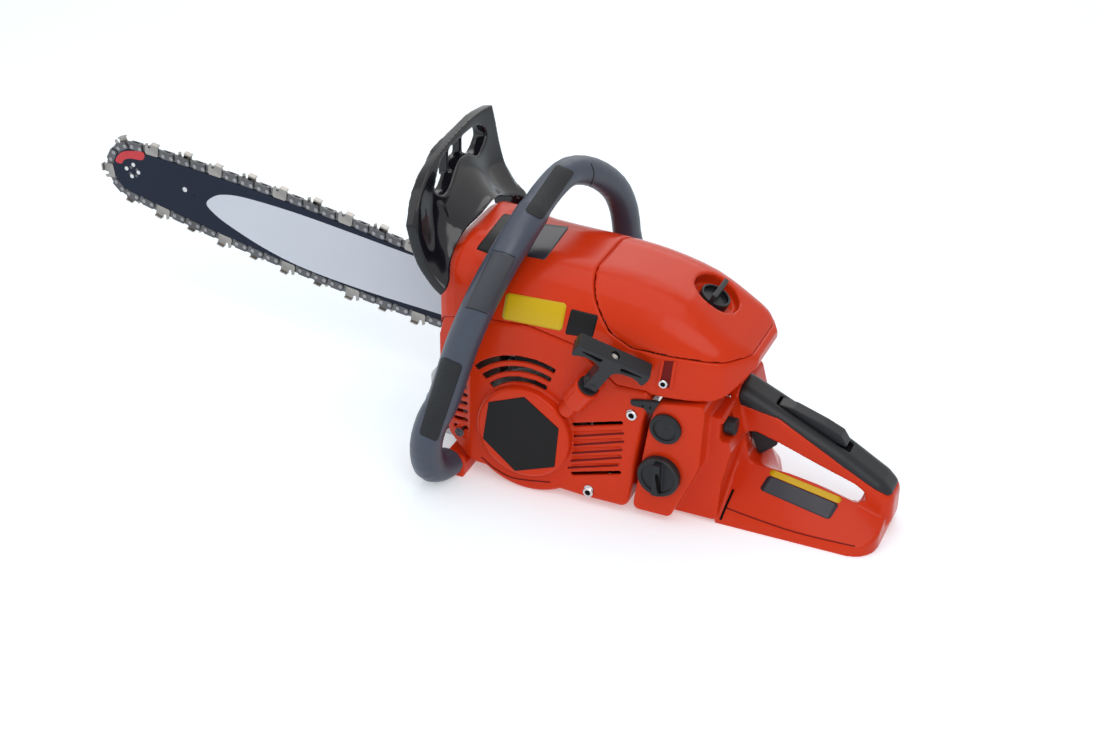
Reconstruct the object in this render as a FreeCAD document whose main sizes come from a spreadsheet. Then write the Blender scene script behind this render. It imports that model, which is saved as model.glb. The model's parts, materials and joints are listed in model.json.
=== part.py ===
"""Petrol chainsaw, built piece by piece as a parametric assembly.

Frame: millimetres, +X forward along the saw to the bar tip, +Y to the saw's left (the starter
side), +Z up. The origin lies on the resting plane, straight below the crankshaft's axis, in the
middle plane of the engine. Every driving size stands in the sheet and is written once.
"""
import FreeCAD, Part
import math
import os
import Sketcher
from FreeCAD import Placement, Rotation, Vector

doc = FreeCAD.newDocument("petrol_chainsaw")
sheet = doc.addObject("Spreadsheet::Sheet", "Sizes")


class Size:
    """A named size, or a sum of named sizes: its value, and the expression that gives it."""

    def __init__(self, value, text):
        self.value = value
        self.text = text

    def __float__(self):
        return self.value

    def __neg__(self):
        return Size(-self.value, f"(-{self.text})")

    def __add__(self, other):
        return Size(self.value + float(other), f"({self.text} + {text_of(other)})")

    def __radd__(self, other):
        return Size(float(other) + self.value, f"({text_of(other)} + {self.text})")

    def __sub__(self, other):
        return Size(self.value - float(other), f"({self.text} - {text_of(other)})")

    def __rsub__(self, other):
        return Size(float(other) - self.value, f"({text_of(other)} - {self.text})")

    def __mul__(self, other):
        return Size(self.value * float(other), f"({self.text} * {text_of(other)})")

    __rmul__ = __mul__

    def __truediv__(self, other):
        return Size(self.value / float(other), f"({self.text} / {text_of(other)})")


def text_of(number):
    """The expression text of a size or of a plain number."""
    return number.text if isinstance(number, Size) else repr(float(number))


class SizeGroup:
    """The sizes by name, as size.bar_thickness."""


size = SizeGroup()
next_row = 1


def add_sizes(heading, values):
    """Writes one group of driving sizes into the sheet, each cell with its alias."""
    global next_row
    sheet.set(f"A{next_row}", heading)
    next_row += 1
    for alias, value in values.items():
        sheet.set(f"A{next_row}", alias)
        sheet.set(f"B{next_row}", str(value))
        sheet.setAlias(f"B{next_row}", alias)
        setattr(size, alias, Size(float(value), f"Sizes.{alias}"))
        next_row += 1


# Shapes made with primitives and prisms

UP = Vector(0, 0, 1)
LEFT = Vector(0, 1, 0)
FORWARD = Vector(1, 0, 0)
FULL_TURN = 360.0
TOUCHING = 1e-6
BEND_SHARE = 0.45


def block(x, y, z):
    """A box from three pairs of limits."""
    limits = [sorted((float(a), float(b))) for a, b in (x, y, z)]
    spans = [high - low for low, high in limits]
    return Part.makeBox(*spans, Vector(*(low for low, high in limits)))


def rod(start, end, radius):
    """A round bar between two points."""
    start, end = [Vector(*[float(number) for number in place]) for place in (start, end)]
    path = end - start
    return Part.makeCylinder(radius, path.Length, start, path)


def disc(x, z, radius, y_start, y_end):
    """A round bar along Y."""
    return rod(Vector(x, y_start, z), Vector(x, y_end, z), radius)


def ring(x, z, outer, inner, y_start, y_end):
    """A tube along Y."""
    return disc(x, z, outer, y_start, y_end).cut(disc(x, z, inner, y_start, y_end))


def rounded_wire(points, radii=0):
    """A closed wire through corner points, each corner rounded by its own radius."""
    corners = [Vector(*point) for point in points]
    count = len(corners)
    if not isinstance(radii, (list, tuple)):
        radii = [radii] * count
    starts = []
    arcs = []
    ends = []
    for index, corner in enumerate(corners):
        before = (corners[index - 1] - corner).normalize()
        after = (corners[(index + 1) % count] - corner).normalize()
        radius = float(radii[index])
        half_angle = before.getAngle(after) / 2
        reach = radius / math.tan(half_angle)
        starts.append(corner + before * reach)
        ends.append(corner + after * reach)
        if radius:
            inward = (before + after).normalize()
            middle = corner + inward * (radius / math.sin(half_angle) - radius)
            arcs.append(Part.Arc(starts[-1], middle, ends[-1]).toShape())
        else:
            arcs.append(None)
    edges = []
    for index in range(count):
        if arcs[index]:
            edges.append(arcs[index])
        line_end = starts[(index + 1) % count]
        if not ends[index].isEqual(line_end, TOUCHING):
            edges.append(Part.makeLine(ends[index], line_end))
    return Part.Wire(edges)


def side_prism(points, y_start, y_end, radii=0):
    """An outline of x and z places, drawn along Y."""
    wire = rounded_wire([(x, y_start, z) for x, z in points], radii)
    return Part.Face(wire).extrude(Vector(0, float(y_end) - float(y_start), 0))


def top_prism(points, z_start, z_end, radii=0):
    """An outline of x and y places, drawn along Z."""
    wire = rounded_wire([(x, y, z_start) for x, y in points], radii)
    return Part.Face(wire).extrude(Vector(0, 0, float(z_end) - float(z_start)))


def front_prism(points, x_start, x_end, radii=0):
    """An outline of y and z places, drawn along X."""
    wire = rounded_wire([(x_start, y, z) for y, z in points], radii)
    return Part.Face(wire).extrude(Vector(float(x_end) - float(x_start), 0, 0))


def turned(profile, x, z):
    """A half section of radius and y places, turned about the line along Y at x and z."""
    wire = rounded_wire([(float(x) + float(r), y, z) for r, y in profile])
    return Part.Face(wire).revolve(Vector(x, 0, z), LEFT, FULL_TURN)


def spread(shares, x_unit, z_unit, x_start=0, z_start=0):
    """Outline points from shares of two named sizes."""
    return [(float(x_start) + x * float(x_unit), float(z_start) + z * float(z_unit))
            for x, z in shares]


def tube(points, radius, bend_shares=BEND_SHARE):
    """A round tube along straight runs joined by tangent arcs."""
    wire = bent_path([Vector(*point) for point in points], bend_shares)
    first = wire.Edges[0]
    start = first.valueAt(first.FirstParameter)
    section = Part.Wire([Part.makeCircle(radius, start, first.tangentAt(first.FirstParameter))])
    return wire.makePipeShell([section], True, False)


def bent_path(corners, share=BEND_SHARE):
    """Straight runs through the corners, each corner an arc as large as its runs allow."""
    edges = []
    place = corners[0]
    for index in range(1, len(corners) - 1):
        corner = corners[index]
        before = corners[index - 1] - corner
        after = corners[index + 1] - corner
        reach = share * min(before.Length, after.Length)
        before.normalize()
        after.normalize()
        half_angle = before.getAngle(after) / 2
        radius = reach * math.tan(half_angle)
        start = corner + before * reach
        end = corner + after * reach
        inward = (before + after).normalize()
        middle = corner + inward * (radius / math.sin(half_angle) - radius)
        if not place.isEqual(start, TOUCHING):
            edges.append(Part.makeLine(place, start))
        edges.append(Part.Arc(start, middle, end).toShape())
        place = end
    edges.append(Part.makeLine(place, corners[-1]))
    return Part.Wire(edges)


def smooth_rows(rows, parts):
    """The rows with more between them, each column on a smooth curve through its numbers."""
    last = len(rows) - 1
    result = []
    for index in range(last):
        four = [rows[min(max(index + shift, 0), last)] for shift in (-1, 0, 1, 2)]
        for step in range(parts):
            t = step / parts
            result.append(tuple(
                (2 * b + (c - a) * t + (2 * a - 5 * b + 4 * c - d) * t ** 2
                 + (3 * b - a - 3 * c + d) * t ** 3) / 2
                for a, b, c, d in zip(*four)))
    result.append(tuple(rows[last]))
    return result


def swept_tube(places, radii, sides=0):
    """A tube through a close row of places, with a radius at each: round, or with flat sides."""
    last = len(places) - 1
    across = None
    wires = []
    for index, (place, radius) in enumerate(zip(places, radii)):
        way = (places[min(index + 1, last)] - places[max(index - 1, 0)]).normalize()
        if across is None:
            across = LEFT.cross(way)
            if across.Length < TOUCHING:
                across = LEFT.cross(Vector(0, 0, 1))
        across = (across - way * across.dot(way)).normalize()
        wire = Part.Wire([Part.makeCircle(float(radius))])
        if sides:
            turns = [2 * math.pi * number / sides for number in range(sides + 1)]
            wire = Part.makePolygon([Vector(radius * math.cos(turn), radius * math.sin(turn), 0)
                                     for turn in turns])
        wire.Placement = Placement(place, Rotation(across, way.cross(across), way, "ZXY"))
        wires.append(wire)
    return Part.makeLoft(wires, True, True)


def rounded_edges(shape, radius, wanted):
    """The shape with a fillet on each edge that the test picks."""
    edges = [edge for edge in shape.Edges if wanted(edge)]
    return shape.makeFillet(radius, edges)


def joined(shapes):
    """One solid from several that touch or overlap."""
    first, *rest = shapes
    return first.fuse(list(rest)).removeSplitter() if rest else first


# Objects of the document

NODES = []


def feature(label, shape, placement=None):
    """A sub-part whose shape is made above from the sheet's sizes."""
    obj = doc.addObject("Part::Feature", label)
    obj.Shape = shape
    obj.Label = label
    if placement:
        obj.Placement = placement
    NODES.append(obj)
    return obj


def group_feature(label, shapes):
    """Identical or paired solids that share one node."""
    return feature(label, Part.makeCompound(list(shapes)))


def bind(obj, **values):
    """Gives properties of an object their sizes from the sheet."""
    for name, value in values.items():
        if isinstance(value, Size):
            obj.setExpression(name, value.text)
        setattr(obj, name, float(value))


def new_body(label):
    """A body for one sub-part."""
    body = doc.addObject("PartDesign::Body", label)
    body.Label = label
    NODES.append(body)
    return body


def new_sketch(body, name, role="XZ_Plane"):
    """A sketch on one of the body's own planes."""
    sketch = body.newObject("Sketcher::SketchObject", f"{body.Name}_{name}")
    plane = next(item for item in body.Origin.OriginFeatures if item.Role == role)
    sketch.AttachmentSupport = [(plane, "")]
    sketch.MapMode = "FlatFace"
    return sketch


def pin_point(sketch, geometry, end, x, y):
    """Ties one point of a sketch to two sizes."""
    for kind, value in (("DistanceX", x), ("DistanceY", y)):
        number = sketch.addConstraint(Sketcher.Constraint(kind, -1, 1, geometry, end, float(value)))
        if isinstance(value, Size):
            sketch.setExpression(f"Constraints[{number}]", value.text)


def draw_polygon(sketch, points):
    """A closed polygon whose corners follow sizes."""
    first = sketch.GeometryCount
    places = [Vector(x, y, 0) for x, y in points]
    for index, place in enumerate(places):
        sketch.addGeometry(Part.LineSegment(place, places[(index + 1) % len(places)]), False)
    for index in range(len(places)):
        following = first + (index + 1) % len(places)
        sketch.addConstraint(Sketcher.Constraint("Coincident", first + index, 2, following, 1))
    for index, (x, y) in enumerate(points):
        pin_point(sketch, first + index, 1, x, y)


def draw_circle(sketch, radius, x=0, y=0):
    """A circle whose radius and centre follow sizes."""
    number = sketch.addGeometry(Part.Circle(Vector(x, y, 0), UP, float(radius)), False)
    rule = sketch.addConstraint(Sketcher.Constraint("Radius", number, float(radius)))
    if isinstance(radius, Size):
        sketch.setExpression(f"Constraints[{rule}]", radius.text)
    pin_point(sketch, number, 3, x, y)


def add_pad(body, sketch, length, backward=False):
    """A pad of the sketch, its length from the sheet."""
    pad = body.newObject("PartDesign::Pad", f"{sketch.Name}_pad")
    pad.Profile = sketch
    pad.Reversed = backward
    bind(pad, Length=length)
    sketch.Visibility = False
    return pad


def add_pocket(body, sketch, length, backward=False):
    """A pocket of the sketch, its depth from the sheet."""
    pocket = body.newObject("PartDesign::Pocket", f"{sketch.Name}_pocket")
    pocket.Profile = sketch
    pocket.Reversed = backward
    bind(pocket, Length=length)
    sketch.Visibility = False
    return pocket


def seat(obj, x=0, y=0, z=0, rotation=None):
    """Places a sub-part, its base point tied to the sheet."""
    obj.Placement = Placement(Vector(x, y, z), rotation or Rotation())
    for name, value in (("x", x), ("y", y), ("z", z)):
        if isinstance(value, Size):
            obj.setExpression(f"Placement.Base.{name}", value.text)


ALONG_Y = Rotation(FORWARD, -90)
ALONG_X = Rotation(LEFT, 90)


def turned_body(label, profile, x=0, y=0, z=0, rotation=ALONG_Y):
    """A revolved body: the profile holds radius and height, and the height runs along the axis."""
    body = new_body(label)
    sketch = new_sketch(body, "profile")
    draw_polygon(sketch, profile)
    revolution = body.newObject("PartDesign::Revolution", f"{label}_turned")
    revolution.Profile = sketch
    revolution.ReferenceAxis = (sketch, ["V_Axis"])
    revolution.Angle = FULL_TURN
    sketch.Visibility = False
    seat(body, x, y, z, rotation)
    return body


def plate_body(label, outline, thickness, y, circles=(), x=0, z=0):
    """A plate in the XZ plane that grows toward +Y from y, with round holes."""
    body = new_body(label)
    sketch = new_sketch(body, "outline")
    draw_polygon(sketch, outline)
    for radius, hole_x, hole_z in circles:
        draw_circle(sketch, radius, hole_x, hole_z)
    add_pad(body, sketch, thickness, backward=True)
    seat(body, x, y, z)
    return body


# Engine

add_sizes("engine", {
    "crank_height": 60,
    "bore": 45,
    "stroke": 28,
    "rod_length": 46,
    "crown_height": 16,
    "running_fit": 0.04,
    "case_radius": 36,
    "case_half_width": 34,
    "case_rise": 36,
    "chamber_radius": 30,
    "chamber_half_width": 16.5,
    "passage_radius": 24,
    "web_radius": 27,
    "web_gap": 5.5,
    "web_width": 10,
    "shaft_radius": 7.5,
    "crank_pin_radius": 6,
    "bearing_outer": 17.5,
    "bearing_start": 17,
    "bearing_width": 11,
    "seal_outer": 12,
    "seal_width": 4,
    "flywheel_seat_radius": 6.5,
    "flywheel_seat_start": 40,
    "flywheel_seat_length": 20,
    "drum_seat_radius": 6,
    "drum_seat_start": 46,
    "drum_seat_length": 22,
    "shaft_tip_radius": 5,
    "shaft_tip_length": 20,
})

axis_z = size.crank_height
throw = size.stroke / 2
pin_height = axis_z + throw
piston_pin_height = pin_height + size.rod_length
case_top = axis_z + size.case_rise
crown_top = piston_pin_height + size.crown_height
bearing_end = size.bearing_start + size.bearing_width
web_end = size.web_gap + size.web_width

add_sizes("front oil tank", {
    "oil_tank_rear": 30,
    "oil_tank_front": 122,
    "oil_tank_bottom": 8,
    "oil_tank_top": 58,
    "oil_tank_corner": 9,
    "oil_tank_nose_drop": 16,
    "oil_tank_left_step": 12,
    "oil_cap_x": 94,
    "oil_cap_z": 32,
    "oil_filler_radius": 12,
    "oil_filler_depth": 10,
    "coil_plate_half_width": 24,
    "coil_plate_start": 39,
    "coil_plate_thickness": 3,
    "coil_plate_rise": 28,
    "foot_length": 62,
    "foot_height": 36,
    "foot_drop": 16,
})


def crankcase_half(side):
    """One half of the crankcase: side is 1 on the left and -1 on the right."""
    width = side * size.case_half_width.value
    tank_front = size.oil_tank_front - (size.oil_tank_left_step if side > 0 else 0)
    shape = disc(0, axis_z, size.case_radius, 0, width)
    flange = block((-size.case_half_width, size.case_half_width), (0, width), (axis_z, case_top))
    tank = side_prism([
        (size.oil_tank_rear, size.oil_tank_bottom),
        (tank_front, size.oil_tank_bottom),
        (tank_front, size.oil_tank_top - size.oil_tank_nose_drop),
        (tank_front - size.oil_tank_nose_drop, size.oil_tank_top),
        (size.oil_tank_rear, size.oil_tank_top)], 0, width,
        [0, size.oil_tank_corner, size.oil_tank_corner, size.oil_tank_corner, 0])
    foot = block((-size.foot_length, 0), (0, width),
                 (axis_z - size.case_radius - size.foot_drop,
                  axis_z - size.case_radius - size.foot_drop + size.foot_height))
    return joined([shape, flange, tank, foot])


def crankcase_hollow(side):
    """What the crankcase half leaves open: chamber, bearing seat, seal seat and cylinder seat."""
    passage = rod(Vector(0, 0, axis_z), Vector(0, 0, case_top), size.passage_radius)
    return [
        disc(0, axis_z, size.chamber_radius, 0, side * size.chamber_half_width.value),
        disc(0, axis_z, size.bearing_outer, 0, side * bearing_end.value),
        disc(0, axis_z, size.seal_outer, 0, side * size.case_half_width.value),
        passage,
    ]


left_half = crankcase_half(1)
for hollow in crankcase_hollow(1):
    left_half = left_half.cut(hollow)
coil_plate = block(
    (-size.coil_plate_half_width, size.coil_plate_half_width),
    (size.coil_plate_start, size.coil_plate_start + size.coil_plate_thickness),
    (case_top - size.seal_width, case_top + size.coil_plate_rise))
coil_foot = block(
    (-size.coil_plate_half_width, size.coil_plate_half_width),
    (size.case_half_width, size.coil_plate_start + size.coil_plate_thickness),
    (case_top - size.seal_width * 2, case_top - size.seal_width))
oil_boss = disc(size.oil_cap_x, size.oil_cap_z, size.oil_filler_radius + size.seal_width,
                size.case_half_width, size.coil_plate_start)
left_half = joined([left_half, coil_plate, coil_foot, oil_boss])
left_half = left_half.cut(disc(size.oil_cap_x, size.oil_cap_z, size.oil_filler_radius,
                               size.coil_plate_start - size.oil_filler_depth, size.coil_plate_start))
feature("crankcase_left", left_half)

add_sizes("bar seat on the crankcase", {
    "bar_plane": 62,
    "bar_tilt": 10,
    "bar_thickness": 4.2,
    "bar_plate_thickness": 0.8,
    "seat_rear": 44,
    "seat_front": 110,
    "seat_half_width": 17,
    "side_plate_rear": 36,
    "side_plate_front": 116,
    "side_plate_low": -36,
    "side_plate_high": 40,
    "side_plate_face": 50,
    "side_plate_back": 38,
    "side_plate_root": 32,
    "side_plate_corner": 10,
    "stud_first": 64,
    "stud_spacing": 28,
    "stud_radius": 4,
    "tension_offset": -12,
    "tension_bore": 3,
    "tension_screw_radius": 2.6,
    "tension_screw_rear": 58,
    "tension_head_radius": 4.5,
    "tension_head_length": 5,
    "tension_screw_depth": 4.6,
})

bar_inner_face = -size.bar_plane + size.bar_thickness / 2
bar_outer_face = -size.bar_plane - size.bar_thickness / 2
seat_face = bar_inner_face + size.bar_plate_thickness
stud_places = [size.stud_first, size.stud_first + size.stud_spacing]


def in_bar_frame(shape):
    """Tilts a shape that was drawn along a level bar up about the crankshaft's axis."""
    shape.rotate(Vector(0, 0, axis_z), LEFT, -size.bar_tilt.value)
    return shape


def bar_level(height):
    """A height in the level bar's frame, measured from the crankshaft's axis."""
    return axis_z + height


right_half = crankcase_half(-1)
side_plate = joined([side_prism([
    (size.side_plate_rear, bar_level(size.side_plate_low)),
    (size.side_plate_front, bar_level(size.side_plate_low)),
    (size.side_plate_front, bar_level(top)),
    (size.side_plate_rear, bar_level(top))],
    -start, -size.side_plate_face, size.side_plate_corner)
    for top, start in ((size.side_plate_high, size.side_plate_back),
                       (0, size.side_plate_root))])
bar_seat = side_prism([
    (size.seat_rear, bar_level(-size.seat_half_width)),
    (size.seat_front, bar_level(-size.seat_half_width)),
    (size.seat_front, bar_level(size.seat_half_width)),
    (size.seat_rear, bar_level(size.seat_half_width))],
    -size.case_half_width, seat_face, size.side_plate_corner / 2)
right_half = joined([right_half, in_bar_frame(joined([side_plate, bar_seat]))])
for hollow in crankcase_hollow(-1):
    right_half = right_half.cut(hollow)
tension_y = seat_face + size.tension_screw_depth
tension_bore = rod(Vector(size.tension_screw_rear, tension_y, bar_level(size.tension_offset)),
                   Vector(size.side_plate_front, tension_y, bar_level(size.tension_offset)),
                   size.tension_bore)
tension_head_room = rod(
    Vector(size.side_plate_front - size.tension_head_length, tension_y,
           bar_level(size.tension_offset)),
    Vector(size.side_plate_front + size.tension_head_length, tension_y,
           bar_level(size.tension_offset)),
    size.tension_head_radius + size.tension_bore - size.tension_screw_radius)
add_sizes("tension pin", {
    "tension_pin_x": 72,
    "tension_block_half_length": 5,
    "tension_block_half_height": 4,
    "tension_pin_radius": 2.8,
    "tension_slot_travel": 10,
})
tension_slot = block(
    (size.tension_pin_x - size.tension_block_half_length - size.tension_slot_travel,
     size.tension_pin_x + size.tension_block_half_length + size.tension_slot_travel),
    (tension_y + size.tension_block_half_height, seat_face),
    (bar_level(size.tension_offset - size.tension_block_half_height - size.running_fit),
     bar_level(size.tension_offset + size.tension_block_half_height + size.running_fit)))
for hollow in (tension_bore, tension_head_room, tension_slot):
    right_half = right_half.cut(in_bar_frame(hollow))
for place in stud_places:
    stud_hole = disc(place, bar_level(0), size.stud_radius, -size.case_half_width, seat_face)
    right_half = right_half.cut(in_bar_frame(stud_hole))
feature("crankcase_right", right_half)

add_sizes("cylinder", {
    "spigot_length": 12,
    "barrel_radius": 29,
    "barrel_height": 51,
    "squish": 1.5,
    "dome_rise": 3.5,
    "plug_thread_radius": 7,
    "fin_thickness": 2,
    "fin_length": 80,
    "fin_width": 74,
    "fin_gap": 3.6,
    "fin_start": 5,
    "fin_count": 8,
    "port_reach": 42,
    "port_half_width": 15,
    "port_half_height": 9,
    "port_radius": 7.5,
    "port_height": 18,
})

bore_radius = size.bore / 2
spigot_radius = size.passage_radius - size.running_fit
cylinder_body = new_body("cylinder")
spigot_sketch = new_sketch(cylinder_body, "spigot")
draw_polygon(spigot_sketch, [
    (0, case_top - size.spigot_length),
    (spigot_radius, case_top - size.spigot_length),
    (spigot_radius, case_top + size.fin_start),
    (0, case_top + size.fin_start)])
spigot = cylinder_body.newObject("PartDesign::Revolution", "cylinder_spigot")
spigot.Profile = spigot_sketch
spigot.ReferenceAxis = (spigot_sketch, ["V_Axis"])
spigot.Angle = FULL_TURN


def level_sketch(body, name, points, height):
    """A polygon drawn level at a height above the origin."""
    sketch = new_sketch(body, name, "XY_Plane")
    draw_polygon(sketch, points)
    sketch.AttachmentOffset = Placement(Vector(0, 0, height), Rotation())
    sketch.setExpression("AttachmentOffset.Base.z", height.text)
    return sketch


BARREL_SHARES = [(1, -0.42), (1, 0.42), (0.42, 1), (-0.42, 1), (-1, 0.42), (-1, -0.42),
                 (-0.42, -1), (0.42, -1)]
barrel_sketch = level_sketch(cylinder_body, "barrel",
                             [(x * size.barrel_radius, y * size.barrel_radius)
                              for x, y in BARREL_SHARES], case_top)
add_pad(cylinder_body, barrel_sketch, size.barrel_height)
fin_level = case_top + size.fin_start
half_x = size.fin_length / 2
half_y = size.fin_width / 2
fin_sketch = level_sketch(cylinder_body, "fin", [
    (-half_x, -half_y), (half_x, -half_y), (half_x, half_y), (-half_x, half_y)], fin_level)
fin = add_pad(cylinder_body, fin_sketch, size.fin_thickness)
fins = cylinder_body.newObject("PartDesign::LinearPattern", "cylinder_fins")
fins.Originals = [fin]
fins.Direction = (fin_sketch, ["N_Axis"])
bind(fins, Length=(size.fin_count - 1) * (size.fin_thickness + size.fin_gap))
fins.Occurrences = int(size.fin_count.value)
fins.setExpression("Occurrences", size.fin_count.text)
cylinder_body.Tip = fins
port_sketch = new_sketch(cylinder_body, "ports", "YZ_Plane")
port_z = case_top + size.port_height
draw_polygon(port_sketch, [
    (-size.port_half_width, port_z - size.port_half_height),
    (size.port_half_width, port_z - size.port_half_height),
    (size.port_half_width, port_z + size.port_half_height),
    (-size.port_half_width, port_z + size.port_half_height)])
port_pad = add_pad(cylinder_body, port_sketch, size.port_reach * 2)
port_pad.Midplane = True
bore_sketch = new_sketch(cylinder_body, "bore")
draw_polygon(bore_sketch, [
    (0, case_top - size.spigot_length),
    (bore_radius, case_top - size.spigot_length),
    (bore_radius, crown_top + size.squish),
    (size.plug_thread_radius, crown_top + size.squish + size.dome_rise),
    (size.plug_thread_radius, case_top + size.barrel_height),
    (0, case_top + size.barrel_height)])
bore_groove = cylinder_body.newObject("PartDesign::Groove", "cylinder_bore")
bore_groove.Profile = bore_sketch
bore_groove.ReferenceAxis = (bore_sketch, ["V_Axis"])
bore_groove.Angle = FULL_TURN
duct_sketch = new_sketch(cylinder_body, "duct", "YZ_Plane")
draw_circle(duct_sketch, size.port_radius, 0, port_z)
duct_pocket = add_pocket(cylinder_body, duct_sketch, size.port_reach * 2 + size.fin_gap)
duct_pocket.Midplane = True
cylinder_body.Tip = duct_pocket

add_sizes("piston and rod", {
    "piston_wall": 1.76,
    "piston_crown_thickness": 4,
    "skirt_length": 18,
    "rod_half_width": 4.5,
    "big_end_radius": 10,
    "small_end_radius": 6,
    "gudgeon_radius": 4,
    "gudgeon_half_length": 5.5,
    "shank_half_width": 3.5,
    "shank_web": 2.2,
})
piston_radius = bore_radius - size.running_fit
skirt_inner = piston_radius - size.piston_wall
turned_body("piston", [
    (0, crown_top), (piston_radius, crown_top),
    (piston_radius, piston_pin_height - size.skirt_length),
    (skirt_inner, piston_pin_height - size.skirt_length),
    (skirt_inner, crown_top - size.piston_crown_thickness),
    (0, crown_top - size.piston_crown_thickness)], rotation=Rotation())

rod_half = size.rod_half_width.value
shank = block((-size.shank_half_width, size.shank_half_width), (-rod_half, rod_half),
              (pin_height + size.crank_pin_radius + 1.0 * size.shank_web, piston_pin_height))
shank = shank.cut(block((-size.shank_half_width + size.shank_web / 2,
                         size.shank_half_width - size.shank_web / 2),
                        (size.shank_web / 2, rod_half),
                        (pin_height + size.big_end_radius, piston_pin_height
                         - size.small_end_radius)))
shank = shank.cut(block((-size.shank_half_width + size.shank_web / 2,
                         size.shank_half_width - size.shank_web / 2),
                        (-rod_half, -size.shank_web / 2),
                        (pin_height + size.big_end_radius, piston_pin_height
                         - size.small_end_radius)))
big_end = disc(0, pin_height, size.big_end_radius, -rod_half, rod_half)
small_end = disc(0, piston_pin_height, size.small_end_radius, -rod_half, rod_half)
rod_shape = joined([shank, big_end, small_end])
rod_shape = rod_shape.cut(disc(0, pin_height, size.crank_pin_radius + size.running_fit,
                               -rod_half, rod_half))
rod_shape = rod_shape.cut(disc(0, piston_pin_height, size.gudgeon_radius, -rod_half, rod_half))
feature("connecting_rod", rod_shape)
turned_body("gudgeon_pin", [
    (0, -size.gudgeon_half_length), (size.gudgeon_radius, -size.gudgeon_half_length),
    (size.gudgeon_radius, size.gudgeon_half_length), (0, size.gudgeon_half_length)],
    z=piston_pin_height)

shaft_parts = [
    disc(0, axis_z, size.web_radius, size.web_gap, web_end),
    disc(0, axis_z, size.web_radius, -size.web_gap, -web_end),
    disc(0, pin_height, size.crank_pin_radius, -web_end, web_end),
    disc(0, axis_z, size.shaft_radius, web_end, size.flywheel_seat_start),
    disc(0, axis_z, size.flywheel_seat_radius, size.flywheel_seat_start,
         size.flywheel_seat_start + size.flywheel_seat_length),
    disc(0, axis_z, size.shaft_radius, -web_end, -size.drum_seat_start),
    disc(0, axis_z, size.drum_seat_radius, -size.drum_seat_start,
         -size.drum_seat_start - size.drum_seat_length),
    disc(0, axis_z, size.shaft_tip_radius, -size.drum_seat_start - size.drum_seat_length,
         -size.drum_seat_start - size.drum_seat_length - size.shaft_tip_length),
]
feature("crankshaft", joined(shaft_parts))


def pair_of_rings(label, outer, inner, start, length):
    """The same ring on both sides of the engine, as one node of two solids."""
    rings = [ring(0, axis_z, outer, inner, side * float(start), side * float(start + length))
             for side in (1, -1)]
    return group_feature(label, rings)


pair_of_rings("main_bearings", size.bearing_outer, size.shaft_radius + size.running_fit,
              size.bearing_start, size.bearing_width)
pair_of_rings("crank_seals", size.seal_outer, size.shaft_radius + size.running_fit,
              size.case_half_width - size.seal_width, size.seal_width)

add_sizes("flywheel", {
    "flywheel_start": 42,
    "flywheel_radius": 44,
    "flywheel_rim": 6,
    "flywheel_width": 9,
    "flywheel_web": 4,
    "flywheel_hub": 13,
    "blade_count": 12,
    "blade_thickness": 2,
    "blade_width": 7,
    "blade_tip_gap": 3,
    "nut_radius": 9,
    "nut_length": 6,
    "magnet_half_length": 9,
    "magnet_depth": 3,
})
flywheel_end = size.flywheel_start + size.flywheel_width
flywheel = turned([
    (size.flywheel_seat_radius, size.flywheel_start),
    (size.flywheel_radius, size.flywheel_start),
    (size.flywheel_radius, flywheel_end),
    (size.flywheel_radius - size.flywheel_rim, flywheel_end),
    (size.flywheel_radius - size.flywheel_rim, size.flywheel_start + size.flywheel_web),
    (size.flywheel_hub, size.flywheel_start + size.flywheel_web),
    (size.flywheel_hub, flywheel_end),
    (size.flywheel_seat_radius, flywheel_end)], 0, axis_z)
blade = block((size.flywheel_hub, size.flywheel_radius - size.blade_tip_gap),
              (size.flywheel_start + size.flywheel_web / 2, flywheel_end + size.blade_width),
              (axis_z - size.blade_thickness / 2, axis_z + size.blade_thickness / 2))
blades = []
for number in range(int(size.blade_count.value)):
    turned_blade = blade.copy()
    turned_blade.rotate(Vector(0, 0, axis_z), LEFT, number * FULL_TURN / size.blade_count.value)
    blades.append(turned_blade)
feature("flywheel", joined([flywheel] + blades))

nut_sides = 6


def hexagon(across_corners, x=0, z=0):
    """The corners of a hexagon of x and z places."""
    return [(float(x) + float(across_corners) * math.cos(math.radians(FULL_TURN / nut_sides * n)),
             float(z) + float(across_corners) * math.sin(math.radians(FULL_TURN / nut_sides * n)))
            for n in range(nut_sides)]


nut_shape = side_prism(hexagon(size.nut_radius, 0, axis_z), flywheel_end,
                       flywheel_end + size.nut_length)
feature("flywheel_nut", nut_shape.cut(
    disc(0, axis_z, size.flywheel_seat_radius, flywheel_end, flywheel_end + size.nut_length)))

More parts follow.
